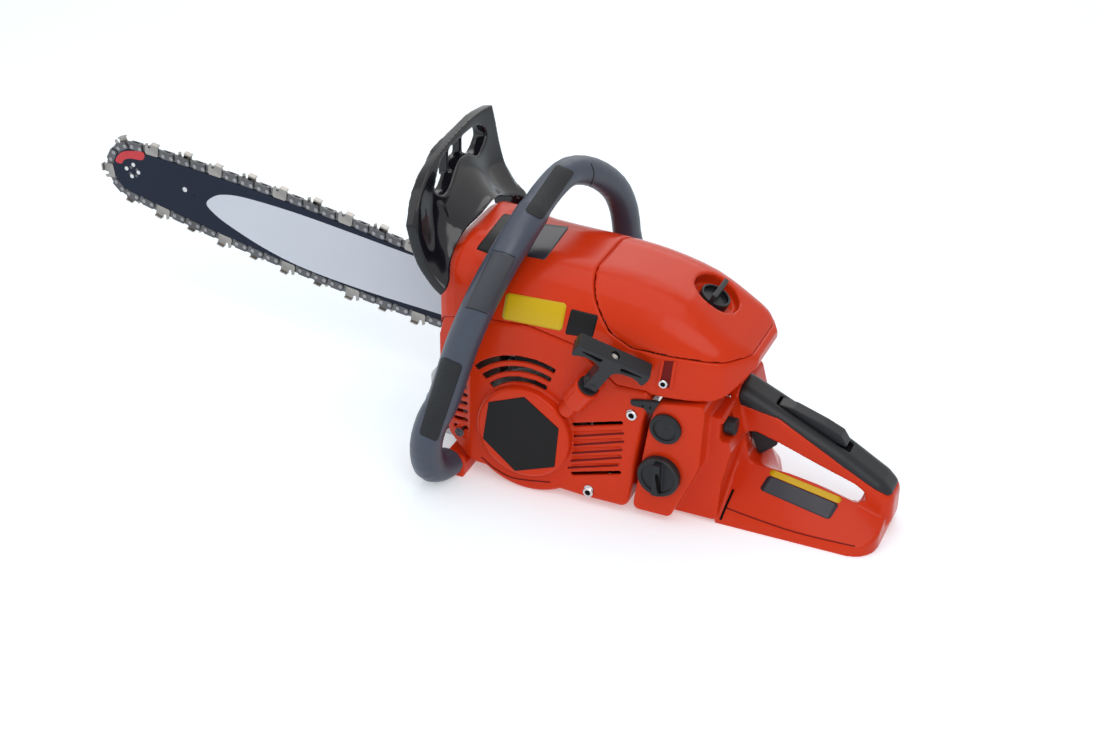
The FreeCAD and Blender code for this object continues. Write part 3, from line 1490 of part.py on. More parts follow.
add_sizes("casings", {
    "casing_length": 200,
    "casing_height": 200,
    "casing_left": 72,
    "casing_wall": 3,
    "casing_gap": 0.4,
    "casing_round": 4,
    "starter_edge": 36,
    "starter_front_left": 57,
    "starter_bend_x": 50,
    "starter_round": 59.5,
    "starter_corner": 7,
    "starter_seam_round": 24,
    "hub_disc_radius": 40.5,
    "hub_disc_face": 81,
    "hub_disc_round": 3,
    "hub_recess_radius": 38,
    "hub_recess_depth": 78,
    "post_radius": 6,
    "post_end": 62,
    "arc_slot_first": 44.5,
    "arc_slot_pitch": 9.4,
    "arc_slot_width": 5,
    "arc_slot_count": 3,
    "arc_slot_start_angle": 45,
    "arc_slot_end_angle": 112,
    "side_slot_count": 7,
    "side_slot_pitch": 7.8,
    "side_slot_height": 3.4,
    "side_slot_slope": 17,
    "side_slot_depth": 1.5,
    "rear_slot_start": -39,
    "rear_slot_length": 43,
    "rear_slot_low": 25,
    "front_slot_start": 53,
    "front_slot_length": 16,
    "front_slot_low": 38,
    "screw_boss_radius": 5.5,
    "screw_radius": 2,
    "screw_head_radius": 4,
    "screw_head_height": 2.5,
})


def casing(shares):
    """Outline points from shares of the casing's length and height."""
    return spread(shares, size.casing_length, size.casing_height)


STARTER_FRONT_SHARE = 0.42
STARTER_SHARES = [
    (-0.44, 0.035), (-0.25, 0.035), (0.24, 0.07), (0.37, 0.155), (0.42, 0.30), (0.42, 0.60),
    (0.395, 0.69), (0.26, 0.75), (0.0, 0.775), (-0.2, 0.735), (-0.375, 0.595), (-0.53, 0.595),
    (-0.49, 0.45)]
seam_round = size.starter_seam_round
corner = size.starter_corner
STARTER_RADII = [corner, corner, corner, corner, corner, corner, corner, seam_round, seam_round,
                 seam_round, corner, corner, corner]
STARTER_SCREW_SHARES = [(-0.445, 0.485), (-0.275, 0.08), (0.3, 0.2)]
starter_screw_places = casing(STARTER_SCREW_SHARES)


def starter_outline(inset):
    """The starter cover's outline, moved inward by an inset."""
    thin = joined([side_prism(casing(STARTER_SHARES), 0, size.casing_wall, STARTER_RADII),
                   disc(0, axis_z, size.starter_round, 0, size.casing_wall)])
    wire = min(thin.Faces, key=lambda face: face.CenterOfMass.y).OuterWire
    return wire.makeOffset2D(-float(inset)) if float(inset) else wire


def starter_solid(inset, y_start, left, front_left, edge_round=0):
    """The starter cover's outline drawn to its sloping left side."""
    wire = starter_outline(inset)
    wire.translate(Vector(0, y_start, 0))
    solid = Part.Face(wire).extrude(Vector(0, float(left) - float(y_start), 0))
    if float(edge_round):
        solid = rounded_edges(solid, edge_round, lambda edge: min(
            vertex.Y for vertex in edge.Vertexes) > float(left) - TOUCHING)
    reach = size.casing_length
    front = size.casing_length * STARTER_FRONT_SHARE
    limit = top_prism([
        (-reach, y_start), (front * 2 - size.starter_bend_x, y_start),
        (front * 2 - size.starter_bend_x, front_left * 2 - left),
        (size.starter_bend_x, left), (-reach, left)], -reach, reach)
    return solid.common(limit)


starter = starter_solid(0, size.starter_edge, size.casing_left, size.starter_front_left,
                        size.casing_round)
hub_disc = disc(0, axis_z, size.hub_disc_radius, size.casing_left - size.casing_wall,
                size.hub_disc_face)
hub_disc = rounded_edges(hub_disc, size.hub_disc_round,
                         lambda edge: edge.CenterOfMass.y > size.hub_disc_face.value - TOUCHING)
starter = starter.fuse(hub_disc)
starter = starter.cut(starter_solid(size.casing_wall, size.starter_edge - size.casing_wall,
                                    size.casing_left - size.casing_wall,
                                    size.starter_front_left - size.casing_wall))
starter = starter.cut(disc(0, axis_z, size.hub_recess_radius,
                           size.casing_left - size.casing_wall * 2, size.hub_recess_depth))
starter = starter.fuse(disc(0, axis_z, size.post_radius, size.post_end, size.hub_recess_depth))
bosses = [disc(x, z, size.screw_boss_radius, size.case_half_width,
               size.casing_left - size.casing_wall / 2) for x, z in starter_screw_places[1:]]
bosses.append(disc(*starter_screw_places[0], size.screw_boss_radius, size.starter_edge,
                   size.casing_left - size.casing_wall / 2))
starter = starter.fuse(bosses)
for number in range(int(size.arc_slot_count.value)):
    middle_radius = size.arc_slot_first + size.arc_slot_pitch * number
    slot = ring(0, axis_z, middle_radius + size.arc_slot_width / 2,
                middle_radius - size.arc_slot_width / 2,
                size.casing_left - size.casing_wall * 2, size.casing_left + size.casing_wall)
    first_angle = math.radians(size.arc_slot_start_angle.value)
    last_angle = math.radians(size.arc_slot_end_angle.value)
    reach = size.casing_length.value
    wedge = side_prism([
        (0, axis_z),
        (reach * math.cos(first_angle), axis_z + reach * math.sin(first_angle)),
        (reach * math.cos(last_angle), axis_z + reach * math.sin(last_angle))],
        size.casing_left - size.casing_wall * 2, size.casing_left + size.casing_wall)
    starter = starter.cut(slot.common(wedge))


def sloping_slot(start_x, length, low, number, y_start):
    """One slot of a row: each runs up toward the rear."""
    z_start = float(low) + number * size.side_slot_pitch.value
    reach = float(length)
    rise = abs(reach) * math.tan(math.radians(size.side_slot_slope.value))
    end_x = float(start_x) - reach
    return side_prism([
        (start_x, z_start), (end_x, z_start + rise),
        (end_x, z_start + rise + size.side_slot_height.value),
        (start_x, z_start + size.side_slot_height.value)],
        y_start, size.casing_left + size.casing_wall)


slot_count = int(size.side_slot_count.value)
for number in range(slot_count):
    open_slot = number in (0, slot_count - 1)
    depth = size.casing_wall * 2 if open_slot else size.side_slot_depth
    starter = starter.cut(sloping_slot(size.rear_slot_start, size.rear_slot_length,
                                       size.rear_slot_low, number, size.casing_left - depth))
    starter = starter.cut(sloping_slot(
        size.front_slot_start + size.front_slot_length, size.front_slot_length,
        size.front_slot_low, number, size.casing_left - size.casing_wall * 4))

add_sizes("starter", {
    "rope_exit_x": -51,
    "rope_exit_y": 80,
    "rope_exit_z": 112,
    "rope_lean_x": -0.54,
    "rope_lean_y": 0.19,
    "rope_lean_z": 0.82,
    "rope_boss_radius": 10.5,
    "rope_boss_back": 14,
    "rope_boss_front": 9,
    "rope_bush_radius": 7,
    "rope_bush_lip": 2,
    "rope_bush_lip_radius": 8.5,
    "rope_radius": 1.75,
    "lead_notch": 5,
    "lead_notch_depth": 18,
    "rope_gap": 0.3,
    "grip_start": 11.4,
    "grip_foot_radius": 8,
    "grip_neck_radius": 5,
    "grip_neck_length": 35,
    "grip_turn": 22,
    "grip_bar_length": 60,
    "grip_bar_height": 11,
    "grip_bar_width": 13,
    "grip_bar_round": 3,
    "grip_window_length": 16,
    "grip_window_height": 4,
    "pulley_bore": 6.05,
    "pulley_start": 62.5,
    "pulley_width": 9,
    "pulley_flange": 27,
    "pulley_groove": 20,
    "pulley_groove_width": 4.6,
    "rope_wrap_radius": 24.6,
    "recoil_gap": 0.5,
    "recoil_width": 4.5,
    "recoil_outer": 37.5,
    "recoil_inner": 6.3,
})
rope_exit = Vector(size.rope_exit_x, size.rope_exit_y, size.rope_exit_z)
rope_way = Vector(size.rope_lean_x, size.rope_lean_y, size.rope_lean_z).normalize()
bar_way = Rotation(rope_way, size.grip_turn.value).multVec(
    Vector(-rope_way.z, 0, rope_way.x).normalize())
rope_frame = Placement(rope_exit, Rotation(bar_way, rope_way.cross(bar_way), rope_way, "ZXY"))


def on_rope_line(shape):
    """Places a shape drawn about the Z axis on the line of the starter rope."""
    shape.Placement = rope_frame.multiply(shape.Placement)
    return shape


def rope_rod(start, end, radius):
    """A round piece along the starter rope."""
    return rod(rope_exit + rope_way * float(start), rope_exit + rope_way * float(end), radius)


starter = starter.fuse(rope_rod(-size.rope_boss_back, size.rope_boss_front,
                                size.rope_boss_radius))
starter = starter.cut(rope_rod(-size.rope_boss_back * 2, size.rope_boss_front,
                               size.rope_bush_radius))
starter = starter.cut(rope_rod(size.rope_boss_front, size.grip_start * 2,
                               size.rope_bush_lip_radius + size.rope_gap))
starter = starter.cut(block((-size.lead_notch, size.lead_notch),
                            (size.starter_edge, size.starter_edge + size.lead_notch_depth),
                            (axis_z + size.starter_round, size.casing_height)))
for x, z in starter_screw_places:
    starter = starter.cut(disc(x, z, size.screw_radius, size.case_half_width, size.casing_left))
    starter = starter.cut(disc(x, z, size.screw_head_radius,
                               size.casing_left - size.screw_head_height,
                               size.casing_left + size.casing_wall))
feature("starter_cover", starter)
screws = [joined([
    disc(x, z, size.screw_radius, size.case_half_width, size.casing_left),
    disc(x, z, size.screw_head_radius, size.casing_left - size.screw_head_height,
         size.casing_left)]) for x, z in starter_screw_places]
group_feature("starter_screws", screws)

bush = rope_rod(-size.rope_boss_back, size.rope_boss_front, size.rope_bush_radius)
bush = bush.fuse(rope_rod(size.rope_boss_front, size.rope_boss_front + size.rope_bush_lip,
                          size.rope_bush_lip_radius))
feature("rope_bush", bush.cut(rope_rod(-size.rope_boss_back * 2, size.grip_start * 2,
                                       size.rope_radius + size.rope_gap)))
grip_neck_top = size.grip_start + size.grip_neck_length
grip_cone = on_rope_line(Part.makeCone(size.grip_foot_radius, size.grip_neck_radius,
                                       size.grip_neck_length, Vector(0, 0, size.grip_start)))
half_bar = size.grip_bar_length / 2
grip_bar = front_prism([
    (-size.grip_bar_width / 2, grip_neck_top),
    (size.grip_bar_width / 2, grip_neck_top),
    (size.grip_bar_width / 2, grip_neck_top + size.grip_bar_height),
    (-size.grip_bar_width / 2, grip_neck_top + size.grip_bar_height)],
    -half_bar, half_bar, size.grip_bar_round)
for side in (1, -1):
    window_end = half_bar - size.grip_bar_round
    grip_bar = grip_bar.cut(block(
        (side * window_end.value, side * (window_end - size.grip_window_length).value),
        (-size.grip_bar_width, size.grip_bar_width),
        (grip_neck_top, grip_neck_top + size.grip_window_height)))
feature("starter_grip", joined([grip_cone, on_rope_line(grip_bar)]).cut(
    rope_rod(size.grip_start, grip_neck_top, size.rope_radius)))
feature("starter_rope", rope_rod(-size.rope_boss_back, grip_neck_top, size.rope_radius))

pulley_end = size.pulley_start + size.pulley_width
groove_start = size.pulley_start + (size.pulley_width - size.pulley_groove_width) / 2
groove_end = groove_start + size.pulley_groove_width
pulley = turned([
    (size.pulley_bore, size.pulley_start), (size.pulley_flange, size.pulley_start),
    (size.pulley_flange, groove_start), (size.pulley_groove, groove_start),
    (size.pulley_groove, groove_end), (size.pulley_flange, groove_end),
    (size.pulley_flange, pulley_end), (size.pulley_bore, pulley_end)], 0, axis_z)
rope_coil = ring(0, axis_z, size.rope_wrap_radius, size.pulley_groove,
                 groove_start + size.rope_gap, groove_end - size.rope_gap)
group_feature("starter_pulley", [pulley, rope_coil])
recoil_start = pulley_end + size.recoil_gap
turned_body("recoil_spring", [
    (size.recoil_inner, recoil_start), (size.recoil_outer, recoil_start),
    (size.recoil_outer, recoil_start + size.recoil_width),
    (size.recoil_inner, recoil_start + size.recoil_width)], z=axis_z)

add_sizes("upper casing", {
    "upper_wall_inset": 3,
    "casing_sections_between": 3,
    "upper_open_drop": 12,
    "knob_x": -132,
    "knob_y": 2,
    "knob_z": 182,
    "knob_lean_x": -0.42,
    "knob_lean_z": 0.907,
    "knob_cup_radius": 20,
    "knob_cup_wall": 2.5,
    "knob_cup_depth": 12,
    "knob_cup_floor": 3,
    "knob_radius": 12.5,
    "knob_ring": 2,
    "knob_height": 7,
    "knob_wing_length": 30,
    "knob_wing_height": 15,
    "knob_wing_width": 4,
    "knob_stem_radius": 3,
    "knob_stem_length": 10,
    "guard_boss_radius": 8,
})
UPPER_SECTION_SHARES = [
    (0.41, 0.625, 0.95, 0.29, -0.25, 0.15),
    (0.33, 0.625, 1.035, 0.33, -0.26, 0.19),
    (0.1, 0.62, 1.01, 0.36, -0.27, 0.22),
    (-0.2, 0.59, 1.0, 0.36, -0.27, 0.22),
    (-0.4, 0.585, 0.985, 0.355, -0.265, 0.22),
    (-0.6, 0.585, 0.935, 0.345, -0.25, 0.2),
    (-0.76, 0.595, 0.835, 0.31, -0.21, 0.12),
    (-0.83, 0.64, 0.785, 0.24, -0.17, 0.07),
    (-0.88, 0.7, 0.735, 0.15, -0.09, 0.015)]


def arch_wire(x, bottom, top, left, right, round_radius):
    """One cross section of the upper casing: upright sides under a rounded top."""
    return rounded_wire([(x, right, bottom), (x, left, bottom), (x, left, top), (x, right, top)],
                        [0, 0, round_radius, round_radius])


def upper_solid(inset, drop=0):
    """The upper casing's outer form, or the space in it at an inset."""
    length = size.casing_length.value
    height = size.casing_height.value
    inset = float(inset)
    wires = []
    rows = smooth_rows(UPPER_SECTION_SHARES, int(size.casing_sections_between.value))
    for x, bottom, top, left, right, round_share in rows:
        front = x == UPPER_SECTION_SHARES[0][0]
        behind = x < UPPER_SECTION_SHARES[5][0]
        wires.append(arch_wire(
            x * length + (inset if front or behind else 0),
            bottom * height - float(drop) + (inset + float(drop) if behind and inset else 0),
            top * height - inset, left * length - inset, right * length + inset,
            round_share * length - inset))
        if inset and x < UPPER_SECTION_SHARES[6][0]:
            break
    return Part.makeLoft(wires, True, True)


upper_outer = upper_solid(0)
upper_inner = upper_solid(size.upper_wall_inset, size.upper_open_drop)
knob_place = Vector(size.knob_x, size.knob_y, size.knob_z)
knob_way = Vector(size.knob_lean_x, 0, size.knob_lean_z).normalize()


def knob_rod(start, end, radius):
    """A round piece on the air filter knob's line."""
    return rod(knob_place + knob_way * float(start), knob_place + knob_way * float(end), radius)


cup_bottom = -size.knob_cup_depth
cup = knob_rod(cup_bottom - size.knob_cup_floor, size.knob_cup_depth,
               size.knob_cup_radius + size.knob_cup_wall).common(upper_outer)
upper_shell = upper_outer.cut(upper_inner)
COVER_SEAM_SHARES = [(-0.19, 1.3), (-0.19, 1.03), (-0.26, 0.92), (-0.34, 0.82), (-0.43, 0.775),
                     (-0.7, 0.765), (-1.05, 0.735), (-1.05, 1.3)]


def seam_prism(grow):
    """The space above the seam of the air filter cover."""
    wire = rounded_wire([(x, 0, z) for x, z in casing(COVER_SEAM_SHARES)],
                        [0, size.casing_round, seam_round, size.starter_corner,
                         size.starter_corner, 0, 0, 0])
    if float(grow):
        wire = wire.makeOffset2D(float(grow))
    reach = size.casing_length.value
    wire.translate(Vector(0, -reach, 0))
    return Part.Face(wire).extrude(Vector(0, 2 * reach, 0))


air_cover = upper_shell.fuse(cup).common(seam_prism(0))
air_cover = air_cover.cut(knob_rod(cup_bottom, size.knob_cup_depth * 2, size.knob_cup_radius))
air_cover = air_cover.cut(knob_rod(-size.knob_cup_depth * 2, 0, size.knob_stem_radius))
feature("air_filter_cover", air_cover)

starter_room = starter_outline(-size.casing_gap)
starter_room.translate(Vector(0, size.case_half_width.value - size.casing_wall.value, 0))
starter_room = Part.Face(starter_room).extrude(Vector(0, size.casing_left.value, 0))
shroud = upper_shell.cut(seam_prism(size.casing_gap)).cut(starter_room)
add_sizes("hand guard arms", {
    "left_arm_inner": 41,
    "left_arm_outer": 49,
    "right_arm_inner": 60,
    "right_arm_outer": 68,
    "arm_end_radius": 9,
    "guard_pin_length": 6,
    "arm_gap": 0.4,
})
boss_start = size.left_arm_outer + size.arm_gap
cheek_boss = disc(*pivot, size.guard_boss_radius, boss_start,
                  boss_start + size.casing_left).common(upper_outer)
shroud = joined([max(shroud.Solids, key=lambda solid: solid.Volume), cheek_boss])
shroud = shroud.cut(disc(*pivot, size.guard_pin_radius + size.running_fit,
                         boss_start, boss_start + size.guard_pin_length))
feature("cylinder_shroud", shroud)

knob_floor = cup_bottom + size.running_fit
knob = knob_rod(knob_floor, knob_floor + size.knob_height, size.knob_radius)
knob = knob.cut(knob_rod(knob_floor + size.knob_height / 2, knob_floor + size.knob_height,
                         size.knob_radius - size.knob_ring))
wing = block((-size.knob_wing_width / 2, size.knob_wing_width / 2),
             (-size.knob_wing_length / 2, size.knob_wing_length / 2),
             (knob_floor, knob_floor + size.knob_wing_height))
wing.Placement = Placement(knob_place, Rotation(UP, knob_way))
knob = joined([knob, wing.common(knob_rod(knob_floor, size.knob_cup_depth, size.knob_wing_length / 2)),
               knob_rod(knob_floor - size.knob_stem_length, knob_floor,
                        size.knob_stem_radius - size.running_fit)])
feature("cover_knob", knob)


# Exhaust and intake

add_sizes("exhaust and intake", {
    "muffler_start": 42,
    "muffler_end": 84,
    "muffler_half_width": 30,
    "muffler_bottom": 66,
    "muffler_top": 150,
    "muffler_wall": 1.5,
    "muffler_round": 6,
    "muffler_port": 9,
    "muffler_plate": 1.2,
    "louvre_count": 6,
    "louvre_height": 4,
    "louvre_half_length": 20,
    "louvre_pitch": 9,
    "intake_length": 20,
    "intake_outer": 14,
    "intake_bore": 9,
    "carb_length": 30,
    "carb_half_width": 18,
    "carb_bottom": 96,
    "carb_top": 130,
    "carb_bore": 8,
    "filter_base_thickness": 5,
    "filter_base_bottom": 96,
    "filter_length": 44,
    "filter_base_half_width": 33,
    "filter_bottom": 133,
    "filter_top": 148,
    "filter_right": 38,
    "filter_left": 46,
    "filter_pleat_count": 16,
    "filter_pleat_depth": 2.5,
})
muffler = block((size.muffler_start, size.muffler_end),
                (-size.muffler_half_width, size.muffler_half_width),
                (size.muffler_bottom, size.muffler_top))
muffler = rounded_edges(muffler, size.muffler_round, lambda edge: edge.BoundBox.XLength > 1)
muffler = muffler.cut(block(
    (size.muffler_start + size.muffler_wall, size.muffler_end - size.muffler_wall),
    (size.muffler_wall - size.muffler_half_width, size.muffler_half_width - size.muffler_wall),
    (size.muffler_bottom + size.muffler_wall, size.muffler_top - size.muffler_wall)))
muffler = muffler.cut(rod((size.muffler_start, 0, port_z),
                          (size.muffler_start + size.muffler_wall, 0, port_z),
                          size.muffler_port))
for number in range(int(size.louvre_count.value)):
    low = size.muffler_bottom + size.louvre_pitch * (number + 1)
    muffler = muffler.cut(block(
        (size.muffler_end - size.muffler_wall * 2, size.muffler_end + size.muffler_wall),
        (-size.louvre_half_length, size.louvre_half_length),
        (low, low + size.louvre_height)))
feature("muffler", muffler)

boot_end = -size.muffler_start - size.intake_length
turned_body("intake_boot", [
    (size.intake_bore, boot_end), (size.intake_outer, boot_end),
    (size.intake_outer, -size.muffler_start), (size.intake_bore, -size.muffler_start)],
    z=port_z, rotation=ALONG_X)
carb_end = boot_end - size.carb_length
carburetor = block((carb_end, boot_end), (-size.carb_half_width, size.carb_half_width),
                   (size.carb_bottom, size.carb_top))
carburetor = carburetor.cut(rod((carb_end, 0, port_z), (boot_end, 0, port_z), size.carb_bore))
feature("carburetor", carburetor)
base_end = carb_end - size.filter_base_thickness
filter_base = block((base_end, carb_end),
                    (-size.filter_base_half_width, size.filter_base_half_width),
                    (size.filter_base_bottom, size.filter_top))
filter_base = filter_base.cut(rod((base_end, 0, port_z), (carb_end, 0, port_z),
                                  size.carb_bore))
air_filter = block((base_end - size.filter_length, base_end),
                   (-size.filter_right, size.filter_left), (size.filter_bottom, size.filter_top))
pleat_pitch = (size.filter_right + size.filter_left) / size.filter_pleat_count
for number in range(1, int(size.filter_pleat_count.value)):
    pleat_y = pleat_pitch * number - size.filter_right
    air_filter = air_filter.cut(block(
        (base_end - size.filter_length, base_end - size.filter_pleat_depth),
        (pleat_y - pleat_pitch / 4, pleat_y + pleat_pitch / 4),
        (size.filter_top - size.filter_pleat_depth, size.filter_top)))
feature("air_filter", joined([filter_base, air_filter]))

# Tank, underbody and rear handle: one moulding that the engine hangs in

add_sizes("tank and rear handle", {
    "tank_right": -48,
    "tank_left": 70,
    "tank_edge_round": 5,
    "rear_tank_right": -46,
    "rear_tank_left": 54,
    "fuel_wall": 3,
    "beam_half_width": 30,
    "beam_height": 6,
    "beam_rear": -160,
    "beam_front": 76,
    "arm_front": 78,
    "arm_rear": 54,
    "arm_left": 78,
    "arm_height": 13,
    "arm_pad_width": 5,
    "arm_pad_height": 20,
    "foot_plate_rear": -285,
    "foot_plate_front": -156,
    "foot_plate_right": -50,
    "foot_plate_left": 52,
    "foot_plate_edge": 9,
    "foot_plate_corner": 22,
    "handle_length": 143,
    "handle_height": 113,
    "handle_front": -146,
    "handle_half_width": 17,
    "handle_round": 10,
    "grip_cover": 2.5,
    "grip_gap": 0.3,
    "core_round": 7.5,
    "lever_gap": 1,
    "trigger_half_width": 5,
    "trigger_pivot_x": -172,
    "trigger_pivot_z": 72,
    "lever_pin_radius": 2,
    "lever_pin_half_length": 11,
    "lockout_half_width": 6,
    "lockout_pivot_x": -192,
    "lockout_pivot_z": 86,
})
handle_x = size.handle_front
TANK_SHARES = [(0.38, 0.065), (0.3, 0.80), (0.26, 0.98), (-0.014, 1.03), (0.0, 0.53),
               (0.063, 0.336), (0.154, 0.065)]
REAR_TANK_SHARES = [(0.26, 0.035), (0.26, 0.885), (-0.084, 0.885), (-0.14, 0.62),
                    (-0.098, 0.354), (-0.084, 0.035)]
LOOP_SHARES = [(0.1, 0.3), (0.1, 0.93), (-0.098, 0.95), (-0.28, 0.845), (-0.706, 0.595),
               (-0.93, 0.43), (-1.0, 0.34), (-1.0, 0.106), (-0.95, 0.0), (-0.1, 0.0)]
LOOP_RADII_SHARES = [0, 0, 0.1, 0.25, 0.4, 0.12, 0.12, 0.12, 0.08, 0]
FOOT_RIDGE_SHARES = [(-0.07, 0.37), (-0.406, 0.355), (-0.573, 0.32), (-0.811, 0.24), (-0.972, 0.17)]
OPENING_SHARES = [(-0.133, 0.611), (-0.17, 0.37), (-0.406, 0.363), (-0.573, 0.327),
                  (-0.811, 0.248), (-0.853, 0.274), (-0.839, 0.345), (-0.783, 0.389),
                  (-0.566, 0.478), (-0.322, 0.584), (-0.203, 0.628)]
OPENING_RADII_SHARES = [0.03, 0.05, 0.2, 0.2, 0.02, 0.02, 0.03, 0.1, 0.3, 0.2, 0.03]
GRIP_EDGE_SHARES = [(-0.084, 0.823), (-0.182, 0.805), (-0.322, 0.77), (-0.455, 0.681),
                    (-0.727, 0.496), (-0.832, 0.425), (-0.965, 0.345), (-1.2, 0.3),
                    (-1.2, 1.4), (-0.084, 1.4)]
LOCKOUT_SHARES = [(-0.294, 0.835), (-0.38, 0.825), (-0.56, 0.75), (-0.66, 0.695),
                  (-0.705, 0.61), (-0.56, 0.64), (-0.35, 0.75), (-0.294, 0.74)]
LOCKOUT_ROOM_SHARES = [(-0.28, 1.1), (-0.72, 1.1), (-0.72, 0.57), (-0.52, 0.56),
                       (-0.33, 0.66), (-0.28, 0.66)]
TRIGGER_SHARES = [(-0.14, 0.566), (-0.196, 0.389), (-0.224, 0.398), (-0.301, 0.487),
                  (-0.308, 0.54), (-0.294, 0.62), (-0.182, 0.68), (-0.14, 0.672)]
TRIGGER_ROOM_SHARES = [(-0.115, 0.5), (-0.34, 0.5), (-0.36, 0.6), (-0.33, 0.7),
                       (-0.115, 0.71)]


def handle_place(shares):
    """Outline points from shares of the rear handle's length and height."""
    return spread(shares, size.handle_length, size.handle_height, handle_x)


def scaled(shares, unit):
    """Radii from shares of a named size."""
    return [share * float(unit) for share in shares]


def handle_loop(inset, half_width, edge_round):
    """The rear handle's outline at one width, with rounded edges."""
    wire = rounded_wire([(x, -float(half_width), z) for x, z in handle_place(LOOP_SHARES)],
                        scaled(LOOP_RADII_SHARES, size.handle_length))
    if float(inset):
        wire = wire.makeOffset2D(-float(inset))
    loop = Part.Face(wire).extrude(Vector(0, 2 * float(half_width), 0))
    return rounded_edges(loop, edge_round, lambda edge: edge.BoundBox.YLength < TOUCHING * 10)


grip_region = side_prism(handle_place(GRIP_EDGE_SHARES), -size.handle_half_width * 2,
                         size.handle_half_width * 2)
opening = side_prism(handle_place(OPENING_SHARES), -size.tank_left, size.tank_left,
                     scaled(OPENING_RADII_SHARES, size.handle_length))
loop_outer = handle_loop(0, size.handle_half_width, size.handle_round)
loop_core = handle_loop(size.grip_cover, size.handle_half_width - size.grip_cover,
                        size.core_round)
loop = loop_outer.cut(grip_region).fuse(loop_core.common(grip_region))

tank = side_prism(handle_place(TANK_SHARES), size.tank_right, size.tank_left,
                  size.tank_edge_round)
rear_tank = side_prism(handle_place(REAR_TANK_SHARES), size.rear_tank_right,
                       size.rear_tank_left, size.tank_edge_round)


def foot_section(x, ridge):
    """One cross section of the foot plate: it slopes from low edges up to the handle's sides."""
    points = [(x, size.foot_plate_right, 0), (x, size.foot_plate_left, 0),
              (x, size.foot_plate_left, size.foot_plate_edge), (x, size.handle_half_width, ridge),
              (x, -size.handle_half_width, ridge),
              (x, size.foot_plate_right, size.foot_plate_edge)]
    return rounded_wire(points, [0, 0, size.tank_edge_round, size.tank_edge_round,
                                 size.tank_edge_round, size.tank_edge_round])


foot_crown = Part.makeLoft([foot_section(x, z) for x, z in handle_place(FOOT_RIDGE_SHARES)],
                           True, True)
foot_plate = foot_crown.common(top_prism([
    (size.foot_plate_rear, size.foot_plate_right), (size.foot_plate_front, size.foot_plate_right),
    (size.foot_plate_front, size.foot_plate_left), (size.foot_plate_rear, size.foot_plate_left)],
    0, size.handle_height,
    [size.foot_plate_corner, 0, 0, size.foot_plate_corner])).cut(opening)
beam = block((size.beam_rear, size.beam_front), (-size.beam_half_width, size.beam_half_width),
             (0, size.beam_height))
heel = block((size.beam_rear, -size.foot_length - size.beam_half_width),
             (-size.beam_half_width, size.beam_half_width),
             (0, size.beam_height * 3))
front_arm = block((size.arm_rear, size.beam_front), (0, size.arm_left), (0, size.beam_height))
front_arm = front_arm.fuse(block((size.arm_rear, size.beam_front),
                                 (size.starter_edge, size.arm_left), (0, size.arm_height)))
front_arm = front_arm.fuse(block((size.arm_rear, size.beam_front),
                                 (size.arm_left - size.arm_pad_width, size.arm_left),
                                 (0, size.arm_pad_height)))
body_shape = joined([tank, rear_tank, foot_plate, beam, heel, front_arm, loop.cut(opening)])
fuel_room = block(
    (handle_x + size.fuel_wall * 3, handle_x + size.handle_length * 0.25),
    (size.tank_right + size.fuel_wall, size.tank_left - size.fuel_wall),
    (size.handle_height * 0.36, size.handle_height * 0.84))
body_shape = body_shape.cut(fuel_room)
lockout_room = side_prism(handle_place(LOCKOUT_ROOM_SHARES),
                          -size.lockout_half_width - size.lever_gap,
                          size.lockout_half_width + size.lever_gap)
trigger_room = side_prism(handle_place(TRIGGER_ROOM_SHARES),
                          -size.trigger_half_width - size.lever_gap,
                          size.trigger_half_width + size.lever_gap)
trigger_pivot = (size.trigger_pivot_x, size.trigger_pivot_z)
lockout_pivot = (size.lockout_pivot_x, size.lockout_pivot_z)
body_shape = body_shape.cut(lockout_room).cut(trigger_room)
pin_end = size.lever_pin_half_length
for place in (trigger_pivot, lockout_pivot):
    body_shape = body_shape.cut(disc(*place, size.lever_pin_radius + size.running_fit,
                                     -pin_end, pin_end))

add_sizes("caps, knobs and plugs", {
    "fuel_cap_x": -114.5,
    "fuel_cap_z": 46.5,
    "fuel_cap_radius": 17.5,
    "fuel_neck_radius": 14,
    "fuel_neck_length": 8,
    "cap_thickness": 5,
    "cap_bar_height": 6,
    "cap_bar_width": 6,
    "cap_bar_length": 28,
    "oil_cap_radius": 15,
    "plug_x": -117.5,
    "plug_z": 90.5,
    "plug_radius": 13,
    "plug_stem_radius": 8,
    "plug_stem_length": 6,
    "plug_rise": 3,
    "plug_dish_radius": 10,
    "choke_y": 40,
    "choke_z": 87,
    "choke_face_x": -156,
    "choke_knob_radius": 7,
    "choke_knob_length": 9,
    "choke_stem_radius": 2.5,
    "choke_stem_length": 16,
})
body_shape = body_shape.cut(disc(size.fuel_cap_x, size.fuel_cap_z,
                                 size.fuel_neck_radius + size.running_fit,
                                 size.tank_left - size.fuel_neck_length, size.tank_left))
body_shape = body_shape.cut(disc(size.plug_x, size.plug_z, size.plug_stem_radius,
                                 size.tank_left - size.plug_stem_length, size.tank_left))
choke_bore = rod((size.choke_face_x - size.choke_stem_length, size.choke_y, size.choke_z),
                 (size.choke_face_x + size.choke_stem_length, size.choke_y, size.choke_z),
                 size.choke_stem_radius + size.running_fit)
choke_seat = block((size.choke_face_x - size.choke_stem_length * 2, size.choke_face_x),
                   (size.choke_y - size.choke_knob_radius - size.lever_gap, size.tank_left),
                   (size.choke_z - size.choke_knob_radius - size.lever_gap,
                    size.choke_z + size.choke_knob_radius + size.lever_gap))
body_shape = body_shape.cut(choke_bore).cut(choke_seat)
feature("tank_and_rear_handle", body_shape)

